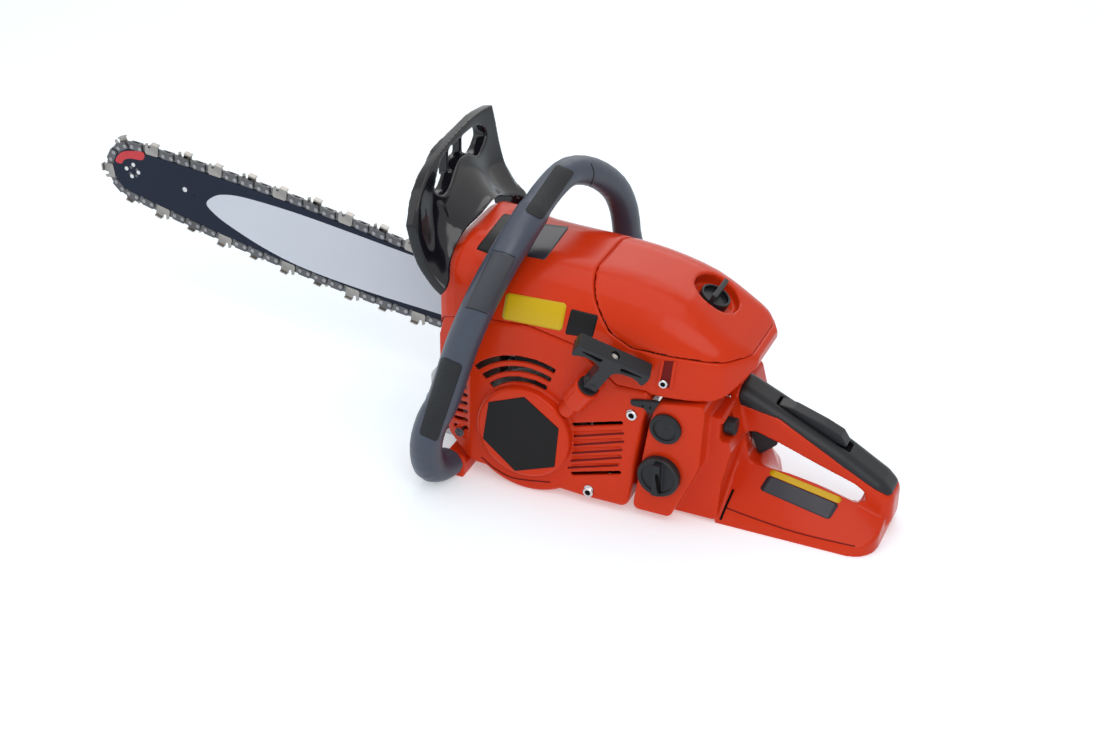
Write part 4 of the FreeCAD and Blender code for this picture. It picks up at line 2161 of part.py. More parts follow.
rear_grip = loop_outer.common(grip_region).cut(loop_core).cut(lockout_room).cut(opening)
rear_grip = rear_grip.cut(rear_tank).cut(tank)
feature("rear_grip", max(rear_grip.Solids, key=lambda solid: solid.Volume))


def lever(shares, half_width, place, round_radius):
    """A flat lever with its own pivot pin."""
    shape = side_prism(handle_place(shares), -half_width, half_width, round_radius)
    pin = disc(*place, size.lever_pin_radius, -pin_end, pin_end)
    return joined([shape, pin])


feature("throttle_trigger", lever(TRIGGER_SHARES, size.trigger_half_width, trigger_pivot,
                                  size.lever_pin_radius / 2))
feature("throttle_lockout", lever(LOCKOUT_SHARES, size.lockout_half_width, lockout_pivot,
                                  size.lever_pin_radius / 2))


def screw_cap(x, z, y, radius, neck_radius, neck_length):
    """A filler cap: a disc with a finger bar outside and a neck inside."""
    bar_half = size.cap_bar_length / 2
    shapes = [
        disc(x, z, radius, y, y + size.cap_thickness),
        disc(x, z, neck_radius, y - neck_length, y),
        block((x - size.cap_bar_width / 2, x + size.cap_bar_width / 2),
              (y + size.cap_thickness, y + size.cap_thickness + size.cap_bar_height),
              (z - bar_half, z + bar_half))]
    return joined(shapes)


feature("fuel_cap", screw_cap(size.fuel_cap_x, size.fuel_cap_z, size.tank_left,
                              size.fuel_cap_radius, size.fuel_neck_radius,
                              size.fuel_neck_length))
feature("oil_cap", screw_cap(size.oil_cap_x, size.oil_cap_z, size.coil_plate_start,
                             size.oil_cap_radius, size.oil_filler_radius - size.running_fit,
                             size.fuel_neck_length))
plug = disc(size.plug_x, size.plug_z, size.plug_radius, size.tank_left,
            size.tank_left + size.plug_rise)
plug = plug.cut(disc(size.plug_x, size.plug_z, size.plug_dish_radius,
                     size.tank_left + size.plug_rise / 2, size.tank_left + size.plug_rise))
feature("buffer_plug", joined([plug, disc(size.plug_x, size.plug_z, size.plug_stem_radius,
                                          size.tank_left - size.plug_stem_length,
                                          size.tank_left)]))
choke_start = size.choke_face_x - size.lever_gap / 2
choke = rod((choke_start, size.choke_y, size.choke_z),
            (choke_start - size.choke_knob_length, size.choke_y, size.choke_z),
            size.choke_knob_radius)
feature("choke_knob", joined([choke, rod(
    (choke_start, size.choke_y, size.choke_z),
    (choke_start + size.choke_stem_length, size.choke_y, size.choke_z),
    size.choke_stem_radius)]))

# Rubber buffers that carry the engine in the tank unit

add_sizes("vibration mounts", {
    "buffer_radius": 9,
    "buffer_spread": 16,
    "buffer_front_x": 60,
    "buffer_rear_z": 27,
})
buffers = []
for side in (1, -1):
    y = size.buffer_spread * side
    buffers.append(rod((handle_x, y, size.buffer_rear_z),
                       (-size.foot_length, y, size.buffer_rear_z),
                       size.buffer_radius).cut(tank).cut(rear_tank).cut(heel))
    buffers.append(rod((size.buffer_front_x, y, size.beam_height),
                       (size.buffer_front_x, y, size.oil_tank_bottom),
                       size.buffer_radius))
group_feature("vibration_mounts", buffers)

# Front handle: one bent tube from the front arm, over the casing, to the tank's right side

add_sizes("front handle", {
    "front_handle_radius": 12,
    "front_sleeve_thickness": 1.3,
    "front_sleeve_share": 0.52,
    "front_handle_sections_between": 3,
    "front_handle_reach": 110,
    "front_handle_rise": 231,
    "front_handle_mount_x": -116,
    "front_handle_mount_z": 92,
    "handle_mount_half_width": 13,
    "handle_mount_depth": 11,
})
FRONT_HANDLE_SHARES = [
    (0.6, 0.66, 0.06), (0.64, 0.8, 0.062), (0.67, 0.92, 0.1), (0.66, 0.975, 0.2),
    (0.61, 0.965, 0.3), (0.53, 0.93, 0.39),
    (0.41, 0.88, 0.60), (0.31, 0.83, 0.74), (0.24, 0.72, 0.84), (0.17, 0.54, 0.935),
    (0.13, 0.3, 1.0), (0.12, 0.0, 1.035), (0.08, -0.25, 1.05), (-0.01, -0.48, 1.01),
    (-0.1, -0.69, 0.92), (-0.15, -0.8, 0.81), (-0.2, -0.82, 0.66), (-0.42, -0.72, 0.49),
    (-0.78, -0.66, 0.42)]
handle_rows = [(x * size.front_handle_reach.value, y * size.front_handle_reach.value,
                z * size.front_handle_rise.value) for x, y, z in FRONT_HANDLE_SHARES]
mount_y = size.tank_right - size.handle_mount_depth / 2
handle_rows.append((size.front_handle_mount_x.value, float(mount_y),
                    size.front_handle_mount_z.value))
handle_route = [Vector(*row) for row in smooth_rows(
    handle_rows, int(size.front_handle_sections_between.value))]
sleeve_last = len(handle_route) * size.front_sleeve_share.value
handle_radii = [float(size.front_handle_radius + (size.front_sleeve_thickness
                                                  if index < sleeve_last else 0))
                for index in range(len(handle_route))]
front_tube = swept_tube(handle_route, handle_radii)
handle_foot = block(
    (size.front_handle_mount_x - size.handle_mount_half_width,
     size.front_handle_mount_x + size.handle_mount_half_width),
    (size.tank_right - size.handle_mount_depth, size.tank_right),
    (size.front_handle_mount_z - size.handle_mount_half_width,
     size.front_handle_mount_z + size.handle_mount_half_width))
inside_gap = block((-size.casing_length, 0), (size.tank_right, size.casing_left),
                   (0, size.front_handle_mount_z + size.handle_mount_half_width * 2))
front_handle = joined([front_tube, handle_foot]).cut(inside_gap)
front_handle = front_handle.cut(block(
    (size.arm_rear - size.arm_height, size.arm_front + size.arm_height),
    (0, size.arm_left), (0, size.arm_pad_height * 2)))
feature("front_handle", front_handle)


# Hand guard: a thin curved plate in front of the front handle, on two arms

add_sizes("hand guard", {
    "guard_reach": 110,
    "guard_height": 275,
    "guard_thickness": 4,
    "guard_rim": 10,
    "guard_wing_start": 76,
    "guard_wing_end": 80,
    "guard_sections_between": 2,
    "guard_slot_round": 4,
    "guard_rib_width": 2,
})
GUARD_SHARES = [
    (-0.58, 0.555, 0.702, 0.836, 0.985), (-0.36, 0.627, 0.742, 0.864, 0.989),
    (-0.09, 0.59, 0.785, 0.873, 0.982), (0.18, 0.573, 0.785, 0.873, 0.967),
    (0.41, 0.60, 0.767, 0.864, 0.945), (0.545, 0.636, 0.70, 0.855, 0.913),
    (0.655, 0.60, 0.655, 0.845, 0.873), (0.727, 0.60, 0.635, 0.85, 0.82)]
GUARD_PROFILE_SHARES = [(0, 0), (0.24, 0.1), (0.57, 0.31), (0.76, 0.545), (0.9, 0.83),
                        (0.92, 0.84), (1, 1)]
GUARD_RIM_FROM = 5
GUARD_SLOT_SHARES = [(-0.427, 0.909), (-0.327, 0.955), (0.073, 0.955), (0.273, 0.937),
                     (0.427, 0.885), (0.364, 0.858), (0.245, 0.865), (0.036, 0.905),
                     (-0.109, 0.905), (-0.273, 0.876)]
GUARD_RIB_SHARES = [-0.08, 0.135]


def guard_section(row, rim_from):
    """One upright section of the guard: a curved plate, thicker from one profile point on."""
    y, low_x, low_z, high_x, high_z = row
    rear = []
    front = []
    for index, (across, rise) in enumerate(GUARD_PROFILE_SHARES):
        x = (low_x + (high_x - low_x) * across) * size.guard_reach.value
        z = (low_z + (high_z - low_z) * rise) * size.guard_height.value
        depth = size.guard_rim if index >= rim_from else size.guard_thickness
        rear.append(Vector(x, y * size.guard_reach.value, z))
        front.append(Vector(x + depth.value, y * size.guard_reach.value, z))
    return Part.makePolygon(rear + front[::-1] + rear[:1])


guard_rows = smooth_rows(GUARD_SHARES, int(size.guard_sections_between.value))
guard_shell = Part.makeLoft([guard_section(row, GUARD_RIM_FROM) for row in guard_rows],
                            True, True)
slot = front_prism(spread(GUARD_SLOT_SHARES, size.guard_reach, size.guard_height),
                   0, size.guard_reach * 2, size.guard_slot_round)
for share in GUARD_RIB_SHARES:
    rib_y = share * size.guard_reach
    slot = slot.cut(block((0, size.guard_reach * 2),
                          (rib_y - size.guard_rib_width / 2, rib_y + size.guard_rib_width / 2),
                          (0, size.guard_height)))
guard_shell = guard_shell.cut(slot)
wing = Part.makeLoft([guard_section(row, 0) for row in guard_rows[-2:]], True, True)
wing = wing.common(block((0, size.guard_reach), (size.guard_wing_start, size.guard_wing_end),
                         (0, size.guard_height)))
LEFT_ARM_SHARES = [(0.60, 0.535), (0.74, 0.535), (0.86, 0.59), (0.9, 0.69), (0.9, 0.79),
                   (0.82, 0.86), (0.70, 0.79), (0.68, 0.775), (0.765, 0.725), (0.80, 0.66),
                   (0.76, 0.62), (0.62, 0.6)]
RIGHT_ARM_SHARES = [(0.6, 0.53), (0.73, 0.53), (0.8, 0.65), (0.86, 0.74), (0.86, 0.85),
                    (0.76, 0.80), (0.66, 0.74), (0.56, 0.70), (0.56, 0.62)]


def guard_arm(shares, inner, outer):
    """One arm of the hand guard, with its round end on the pivot."""
    outline = spread(shares, size.guard_reach, size.guard_height)
    arm = side_prism(outline, inner, outer)
    return joined([arm, disc(*pivot, size.arm_end_radius, inner, outer)])


left_arm = guard_arm(LEFT_ARM_SHARES, size.left_arm_inner, size.left_arm_outer)
left_arm = joined([left_arm, disc(*pivot, size.guard_pin_radius, size.left_arm_outer,
                                  size.left_arm_outer + size.guard_pin_length)])
right_arm = guard_arm(RIGHT_ARM_SHARES, -size.right_arm_outer, -size.right_arm_inner)
right_arm = joined([right_arm, disc(*pivot, size.guard_pin_radius,
                                    -size.right_arm_outer - size.guard_pin_length,
                                    -size.right_arm_outer)])
feature("hand_guard", joined([guard_shell, wing, left_arm, right_arm]))


# Checks before anything is written

doc.recompute()
for obj in doc.Objects:
    if "Invalid" in obj.State or "Error" in obj.State:
        raise ValueError("The object " + obj.Label + " failed to build")
for obj in NODES:
    if obj.Shape.isNull() or not obj.Shape.isValid() or not obj.Shape.Solids:
        raise ValueError("The sub-part " + obj.Label + " has no valid solid")

os.makedirs("parts", exist_ok=True)
for obj in NODES:
    obj.Shape.exportStep("parts/" + obj.Label + ".step")
print("Wrote", len(NODES), "sub-parts")
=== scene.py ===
"""Looks of the petrol chainsaw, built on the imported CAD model.

Everything is in metres, in the CAD model's frame: +X forward along the bar, +Y to the left, +Z up.
"""

import json
import math

import bmesh
import bpy
from mathutils import Matrix, Vector
from mathutils.bvhtree import BVHTree


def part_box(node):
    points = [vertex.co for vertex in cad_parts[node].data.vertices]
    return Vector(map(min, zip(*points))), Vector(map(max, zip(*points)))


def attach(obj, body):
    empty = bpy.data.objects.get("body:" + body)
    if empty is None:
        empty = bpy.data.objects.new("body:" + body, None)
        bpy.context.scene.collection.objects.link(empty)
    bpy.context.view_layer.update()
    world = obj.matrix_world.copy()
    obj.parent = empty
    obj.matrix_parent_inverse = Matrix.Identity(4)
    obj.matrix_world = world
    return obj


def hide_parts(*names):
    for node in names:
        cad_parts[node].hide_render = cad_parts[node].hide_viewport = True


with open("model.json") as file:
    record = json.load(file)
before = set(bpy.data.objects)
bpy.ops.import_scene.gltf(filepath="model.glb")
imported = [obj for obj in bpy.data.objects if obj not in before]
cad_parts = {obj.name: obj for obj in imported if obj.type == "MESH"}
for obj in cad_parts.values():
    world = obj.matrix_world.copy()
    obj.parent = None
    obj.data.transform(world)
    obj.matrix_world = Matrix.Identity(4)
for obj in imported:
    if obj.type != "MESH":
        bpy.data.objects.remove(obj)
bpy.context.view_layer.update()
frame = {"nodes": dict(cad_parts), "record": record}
nodes = frame["nodes"]
MM = 0.001
BODY_OF = {node: body for body, names in frame["record"]["behaviour"]["bodies"].items()
           for node in names}

# Camera: the photograph's viewpoint, found from the bar, the chain and the casing

IMAGE_WIDTH = 1100
IMAGE_HEIGHT = 733
CAMERA_PLACE = Vector((-0.5436, 1.3081, 0.9313))
CAMERA_AZIMUTH = math.radians(22.9683)
CAMERA_RISE = math.radians(31.0536)
CAMERA_ROLL = math.radians(0.8784)
CAMERA_LENS = 65.45
SENSOR_WIDTH = 36.0
NEAR_CLIP = 0.05
FAR_CLIP = 20
to_camera = Vector((-math.sin(CAMERA_AZIMUTH) * math.cos(CAMERA_RISE),
                    math.cos(CAMERA_AZIMUTH) * math.cos(CAMERA_RISE),
                    math.sin(CAMERA_RISE)))
level_right = (-to_camera).cross(Vector((0, 0, 1))).normalized()
level_up = level_right.cross(-to_camera)
camera_right = level_right * math.cos(CAMERA_ROLL) + level_up * math.sin(CAMERA_ROLL)
camera_up = level_up * math.cos(CAMERA_ROLL) - level_right * math.sin(CAMERA_ROLL)


def add_camera():
    """The camera at the photograph's place, turned as it was."""
    data = bpy.data.cameras.new("camera")
    data.sensor_width = SENSOR_WIDTH
    data.lens = CAMERA_LENS
    data.clip_start = NEAR_CLIP
    data.clip_end = FAR_CLIP
    camera = bpy.data.objects.new("camera", data)
    turn = Matrix((camera_right, camera_up, to_camera)).transposed()
    camera.matrix_world = Matrix.Translation(CAMERA_PLACE) @ turn.to_4x4()
    bpy.context.scene.collection.objects.link(camera)
    bpy.context.scene.camera = camera


def sight(across, down):
    """The direction from the camera through a place in the photograph."""
    reach = CAMERA_LENS / SENSOR_WIDTH * IMAGE_WIDTH
    return (camera_right * (across - IMAGE_WIDTH / 2) / reach
            - camera_up * (down - IMAGE_HEIGHT / 2) / reach - to_camera).normalized()


def at_depth(place, y):
    """Where the line of sight through a place in the photograph meets an upright plane."""
    way = sight(*place)
    return CAMERA_PLACE + way * ((y - CAMERA_PLACE.y) / way.y)


add_camera()

# Materials

RED = (0.63, 0.036, 0.006)
BLACK = (0.006, 0.006, 0.009)
DARK = (0.020, 0.021, 0.024)
TINT_DETAIL = 4.0
SMEAR_SCALE = 2.5
SMEAR_DETAIL = 6.0
DULLEST = 1.3
GLOSSIEST = 0.75
WEAR_START = 0.53
WEAR_END = 0.62
GRAIN_DETAIL = 3.0
GRAIN_DEPTH = 0.0006


def link(tree, source, output, target, entry):
    """Joins two nodes of a material."""
    tree.links.new(source.outputs[output], target.inputs[entry])


def noise(tree, place, scale, detail):
    """A noise pattern over the whole piece."""
    pattern = tree.nodes.new("ShaderNodeTexNoise")
    pattern.inputs["Scale"].default_value = scale
    pattern.inputs["Detail"].default_value = detail
    link(tree, place, "Object", pattern, "Vector")
    return pattern


def surface(name, colour, roughness, metallic=0.0, tint=0.12, tint_scale=14.0, grain=400.0,
            grain_strength=0.05, wear=0.0, wear_colour=(0.6, 0.6, 0.6), shine=0.5, pattern=None):
    """A material with uneven colour and sheen, a fine grain or pattern and worn edges; the knurl
    pattern's colour is painted shade that follows its relief.
    """
    material = bpy.data.materials.new(name)
    material.use_nodes = True
    tree = material.node_tree
    shader = tree.nodes["Principled BSDF"]
    shader.inputs["Metallic"].default_value = metallic
    shader.inputs["Specular IOR Level"].default_value = shine
    place = tree.nodes.new("ShaderNodeTexCoord")
    broad = noise(tree, place, tint_scale, TINT_DETAIL)
    mix = tree.nodes.new("ShaderNodeMix")
    mix.data_type = "RGBA"
    mix.inputs["A"].default_value = (*[part * (1 - tint) for part in colour], 1)
    mix.inputs["B"].default_value = (*[min(1, part * (1 + tint)) for part in colour], 1)
    link(tree, broad, "Fac", mix, "Factor")
    worn = tree.nodes.new("ShaderNodeMix")
    worn.data_type = "RGBA"
    worn.inputs["B"].default_value = (*wear_colour, 1)
    link(tree, mix, "Result", worn, "A")
    edge = tree.nodes.new("ShaderNodeNewGeometry")
    ramp = tree.nodes.new("ShaderNodeMapRange")
    ramp.inputs["From Min"].default_value = WEAR_START
    ramp.inputs["From Max"].default_value = WEAR_END
    ramp.inputs["To Max"].default_value = wear
    link(tree, edge, "Pointiness", ramp, "Value")
    link(tree, ramp, "Result", worn, "Factor")
    link(tree, worn, "Result", shader, "Base Color")
    smear = noise(tree, place, tint_scale * SMEAR_SCALE, SMEAR_DETAIL)
    gloss = tree.nodes.new("ShaderNodeMapRange")
    gloss.inputs["To Min"].default_value = roughness * GLOSSIEST
    gloss.inputs["To Max"].default_value = roughness * DULLEST
    link(tree, smear, "Fac", gloss, "Value")
    link(tree, gloss, "Result", shader, "Roughness")
    bump = tree.nodes.new("ShaderNodeBump")
    bump.inputs["Strength"].default_value = grain_strength
    bump.inputs["Distance"].default_value = GRAIN_DEPTH
    if pattern == "knurl":
        fine = tree.nodes.new("ShaderNodeTexVoronoi")
        fine.inputs["Randomness"].default_value = 0.0
        fine.inputs["Scale"].default_value = grain
        link(tree, place, "UV", fine, "Vector")
        link(tree, fine, "Distance", bump, "Height")
        # Painted shade: the colour follows the knurl's relief, dark in the pits and light on the
        # ridges.
        link(tree, fine, "Distance", mix, "Factor")
    elif pattern == "rings":
        fine = tree.nodes.new("ShaderNodeTexWave")
        fine.inputs["Scale"].default_value = grain
        link(tree, place, "UV", fine, "Vector")
        link(tree, fine, "Fac", bump, "Height")
    else:
        link(tree, noise(tree, place, grain, GRAIN_DETAIL), "Fac", bump, "Height")
    link(tree, bump, "Normal", shader, "Normal")
    return material


red_plastic = surface("red_plastic", RED, 0.2, tint=0.06, grain=260, grain_strength=0.03,
                      shine=0.16)
# Painted shade: a dark red that stands for the shade in the cover's grooves, on the screw channel's
# floor and under the cover's ridge; it also draws the seam line on the foot.
painted_shade_and_seam_red = surface("painted_shade_and_seam_red", (0.16, 0.005, 0.003), 0.45, tint=0.1, grain=260, shine=0.15)
gloss_black = surface("gloss_black", BLACK, 0.1, tint=0.2, grain_strength=0.02, shine=0.42)
satin_black = surface("satin_black", DARK, 0.34, tint=0.2, grain=900, grain_strength=0.12,
                      wear=0.12, wear_colour=(0.07, 0.07, 0.075), shine=0.22)
# Painted shade: a near-black that stands for the shade inside slots, holes, sockets and wells.
painted_shade_black = surface("painted_shade_black", (0.004, 0.003, 0.003), 0.7, tint=0.2, shine=0.05)
handle_rubber = surface("handle_rubber", (0.042, 0.054, 0.082), 0.38, tint=0.15, grain=1200,
                        grain_strength=0.12)
# Painted shade and highlight: the strong tint follows the knurl's pits and ridges.
knurl_rubber = surface("knurl_rubber", (0.022, 0.024, 0.028), 0.5, tint=0.95, grain=1.0,
                       grain_strength=1.0, shine=0.25, pattern="knurl")
ring_rubber = surface("ring_rubber", (0.034, 0.039, 0.050), 0.45, tint=0.15, grain=1.0,
                      grain_strength=0.6, pattern="rings")
soft_rubber = surface("soft_rubber", (0.012, 0.012, 0.013), 0.6, grain_strength=0.1, shine=0.2)
bright_steel = surface("bright_steel", (0.62, 0.62, 0.63), 0.25, metallic=1.0, grain_strength=0.08)
dark_steel = surface("dark_steel", (0.085, 0.085, 0.095), 0.38, metallic=1.0, tint=0.45,
                     grain_strength=0.12, wear=0.12, wear_colour=(0.4, 0.38, 0.36))
link_steel = surface("link_steel", (0.10, 0.098, 0.105), 0.36, metallic=1.0, tint=0.45,
                     grain_strength=0.12, wear=0.12, wear_colour=(0.5, 0.48, 0.45))
cutter_steel = surface("cutter_steel", (0.21, 0.195, 0.18), 0.28, metallic=1.0, tint=0.4,
                       grain_strength=0.1, wear=0.25, wear_colour=(0.7, 0.66, 0.62))
rivet_steel = surface("rivet_steel", (0.30, 0.29, 0.30), 0.3, metallic=1.0, tint=0.3,
                      grain_strength=0.08)
cast_alloy = surface("cast_alloy", (0.45, 0.45, 0.46), 0.48, metallic=0.9, tint=0.2,
                     grain=700, grain_strength=0.35)
bar_paint = surface("bar_paint", (0.012, 0.018, 0.036), 0.34, tint=0.15,
                    grain_strength=0.06, shine=0.14)
bar_white = surface("bar_white", (0.60, 0.63, 0.70), 0.35, tint=0.04, grain_strength=0.04,
                    shine=0.3)
mark_red = surface("mark_red", (0.55, 0.02, 0.03), 0.35, tint=0.06)
label_dark = surface("label_dark", (0.010, 0.0095, 0.010), 0.35, tint=0.15,
                     grain_strength=0.03, shine=0.15)
label_slate = surface("label_slate", (0.030, 0.030, 0.040), 0.25, tint=0.12,
                      grain_strength=0.03, shine=0.3)
label_yellow = surface("label_yellow", (0.64, 0.41, 0.006), 0.3, tint=0.05,
                       grain_strength=0.03, shine=0.25)
felt = surface("felt", (0.62, 0.6, 0.52), 0.85, grain_strength=0.6)
cord_fibre = surface("cord_fibre", (0.5, 0.48, 0.44), 0.8, grain=1500, grain_strength=0.5)
hot_steel = surface("hot_steel", (0.3, 0.27, 0.23), 0.42, metallic=1.0, tint=0.35,
                    grain_strength=0.2)

NODE_LOOKS = {
    red_plastic: ["clutch_cover", "starter_cover", "air_filter_cover", "cylinder_shroud",
                  "tank_and_rear_handle"],
    gloss_black: ["hand_guard"],
    satin_black: ["rope_bush", "starter_grip", "rear_grip", "throttle_trigger",
                  "throttle_lockout", "fuel_cap", "oil_cap", "buffer_plug", "choke_knob",
                  "ignition_coil", "starter_pulley", "cover_knob"],
    handle_rubber: ["front_handle"],
    soft_rubber: ["crank_seals", "plug_boot", "ignition_lead", "intake_boot",
                  "vibration_mounts"],
    bright_steel: ["starter_screws", "bar_studs", "gudgeon_pin", "main_bearings",
                   "drum_bearing", "flywheel_nut", "spark_plug", "tension_screw",
                   "tension_pin"],
    dark_steel: ["chain_tie_straps", "clutch_drum", "clutch_hub", "clutch_shoes",
                 "brake_band", "brake_spring", "recoil_spring", "spike_bumper",
                 "nose_sprocket", "inner_bar_plate"],
    link_steel: ["chain_drive_links", "connecting_rod", "crankshaft"],
    cutter_steel: ["chain_cutters"],
    cast_alloy: ["crankcase_left", "crankcase_right", "cylinder", "piston", "flywheel",
                 "oil_pump", "carburetor", "chain_catcher"],
    bar_paint: ["guide_bar"],
    felt: ["air_filter"],
    cord_fibre: ["starter_rope"],
    hot_steel: ["muffler"],
}
LOOK_OF = {name: material for material, names in NODE_LOOKS.items() for name in names}


def paint(mesh, material):
    """Gives a mesh one material and no other."""
    mesh.materials.clear()
    mesh.materials.append(material)


for name, material in LOOK_OF.items():
    paint(nodes[name].data, material)

# Pieces: ways to make them. The edges are angles in degrees, below which shading stays smooth.

SOFT_EDGE = 60
PLATE_EDGE = 40
PIECE_EDGE = 35
TURNED_EDGE = 30
SMOOTH_FACTOR = 0.5
SHEET_SHARE = 1.6
STRIP_PARTS = 8


def finish_piece(piece, material, node):
    """Links a piece, gives it its material and lets it ride with the node that carries it."""
    bpy.context.scene.collection.objects.link(piece)
    paint(piece.data, material)
    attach(piece, BODY_OF[node])
    return piece


def shade_smooth(mesh, angle):
    """Smooth shading, with edges sharper than the angle kept crisp."""
    mesh.polygons.foreach_set("use_smooth", [True] * len(mesh.polygons))
    mesh.set_sharp_from_angle(angle=math.radians(angle))


def bake_modifiers(piece):
    """Applies a piece's modifiers to its mesh."""
    graph = bpy.context.evaluated_depsgraph_get()
    mesh = bpy.data.meshes.new_from_object(piece.evaluated_get(graph))
    piece.modifiers.clear()
    piece.data = mesh


def eased(value, start, end):
    """A smooth step from 0 at start to 1 at end."""
    share = max(0.0, min(1.0, (value - start) / (end - start)))
    return share * share * (3 - 2 * share)


def soften(piece, voxel, rounds, material):
    """Remakes a piece as one closed moulding with soft edges."""
    remesh = piece.modifiers.new("remesh", "REMESH")
    remesh.mode = "VOXEL"
    remesh.voxel_size = voxel * MM
    smooth = piece.modifiers.new("smooth", "SMOOTH")
    smooth.factor = SMOOTH_FACTOR
    smooth.iterations = rounds
    bake_modifiers(piece)
    shade_smooth(piece.data, SOFT_EDGE)
    paint(piece.data, material)


def moulded_skin(node, voxel, rounds):
    """A node's form remade with the soft edges of a moulding."""
    piece = bpy.data.objects.new(node + "_skin", nodes[node].data.copy())
    finish_piece(piece, LOOK_OF[node], node)
    soften(piece, voxel, rounds, LOOK_OF[node])
    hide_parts(node)
    return piece


SKINS = {"starter_cover": (0.9, 3), "air_filter_cover": (1.1, 22), "cylinder_shroud": (1.1, 6),
         "tank_and_rear_handle": (1.1, 8), "rear_grip": (0.8, 6),
         "front_handle": (1.2, 8), "clutch_cover": (1.2, 4),
         "throttle_lockout": (0.5, 5), "throttle_trigger": (0.5, 5), "fuel_cap": (0.5, 3),
         "cover_knob": (0.4, 3), "choke_knob": (0.4, 3), "buffer_plug": (0.4, 3),
         "crankcase_left": (1.2, 3), "crankcase_right": (1.2, 3), "muffler": (1.2, 3)}
skins = {node: moulded_skin(node, voxel, rounds) for node, (voxel, rounds) in SKINS.items()}
BESIDE = {"cylinder_shroud": ("cylinder_shroud", "starter_cover", "air_filter_cover")}

# Skin of the tank and rear handle: its foot plate falls away, and the lockout's well gets painted
# shade

HANDLE_FRONT = -146
HANDLE_LENGTH = 143
HANDLE_HEIGHT = 113
FOOT_RIDGE_SHARES = [(-0.07, 0.37), (-0.406, 0.355), (-0.573, 0.32), (-0.811, 0.24),
                     (-0.972, 0.17)]
RIDGE_SIDE = 17
RIDGE_MARGIN = 1.5
FALL_RATE = 0.72
FOOT_LEAST = 0.5
SLIM_START = (176, 192)
OPENING_END = (256, 266)
SLIM_EDGE = -14
SLIM_SHARE = 0.3
WELL_SIDE = 8.5
WELL_ENDS = (-252, -184)
WELL_FLOOR = 50
WELL_TILT = -0.3


def ridge_height(x):
    """The height of the foot plate's ridge at a place along the saw."""
    places = [(HANDLE_FRONT + share * HANDLE_LENGTH, height * HANDLE_HEIGHT)
              for share, height in FOOT_RIDGE_SHARES]
    for (front, high), (rear, low) in zip(places, places[1:]):
        if x >= rear:
            return high + (low - high) * min(1, max(0, (front - x) / (front - rear)))
    return places[-1][1]


def slim_foot(piece):
    """Lets the foot plate fall away to the right of its ridge, as the photograph shows."""
    for vertex in piece.data.vertices:
        x, y, z = vertex.co / MM
        ridge = ridge_height(x)
        if y >= RIDGE_SIDE or z > ridge + RIDGE_MARGIN:
            continue
        share = eased(-x, *SLIM_START)
        open_share = share * (1 - eased(-x, *OPENING_END))
        fall = max(FOOT_LEAST, ridge - (RIDGE_SIDE - y) * FALL_RATE)
        z += (min(z, fall) - z) * open_share
        if y < SLIM_EDGE:
            y += (SLIM_EDGE + (y - SLIM_EDGE) * SLIM_SHARE - y) * share
        vertex.co = Vector((x, y, z)) * MM


def paint_well_shade(piece):
    """Painted shade: blackens the handle's core where the lockout's slot shows it."""
    piece.data.materials.append(painted_shade_black)
    for face in piece.data.polygons:
        x, y, z = face.center / MM
        if (abs(y) < WELL_SIDE and WELL_ENDS[0] < x < WELL_ENDS[1] and z > WELL_FLOOR
                and face.normal.z > WELL_TILT):
            face.material_index = 1


slim_foot(skins["tank_and_rear_handle"])
paint_well_shade(skins["tank_and_rear_handle"])

# Pieces on a surface that the photograph shows


def tree_of(node):
    """A search tree of a visible node's surface, with the panels flush beside it."""
    points = []
    faces = []
    for name in BESIDE.get(node, (node,)):
        mesh = (skins.get(name) or nodes[name]).data
        first = len(points)
        points += [vertex.co for vertex in mesh.vertices]
        faces += [[first + index for index in face.vertices] for face in mesh.polygons]
    return BVHTree.FromPolygons(points, faces)


surfaces = {}


def on_surface(place, node):
    """The point and normal where a line of sight first meets a node."""
    if node not in surfaces:
        surfaces[node] = tree_of(node)
    point, normal, _, _ = surfaces[node].ray_cast(CAMERA_PLACE, sight(*place))
    if point is None:
        raise ValueError(f"No surface of {node} at {tuple(place)} in the photograph")
    return point, normal


def mesh_piece(name, points, faces, material, node, angle=PIECE_EDGE, uvs=None):
    """A piece from points and faces."""
    mesh = bpy.data.meshes.new(name)
    mesh.from_pydata([tuple(point) for point in points], [], faces)
    if uvs:
        layer = mesh.uv_layers.new(name="UVMap")
        for loop in mesh.loops:
            layer.data[loop.index].uv = uvs[loop.vertex_index]
    mesh.update()
    shade_smooth(mesh, angle)
    return finish_piece(bpy.data.objects.new(name, mesh), material, node)


def thicken(piece, lift, offset, material):
    """Gives a lifted sheet its thickness."""
    thick = piece.modifiers.new("thick", "SOLIDIFY")
    thick.thickness = lift * SHEET_SHARE * MM
    thick.offset = offset
    bake_modifiers(piece)
    paint(piece.data, material)


def between(first, last, share):
    """The place at a share of the way from one place to another."""
    return [a + (b - a) * share for a, b in zip(first, last)]


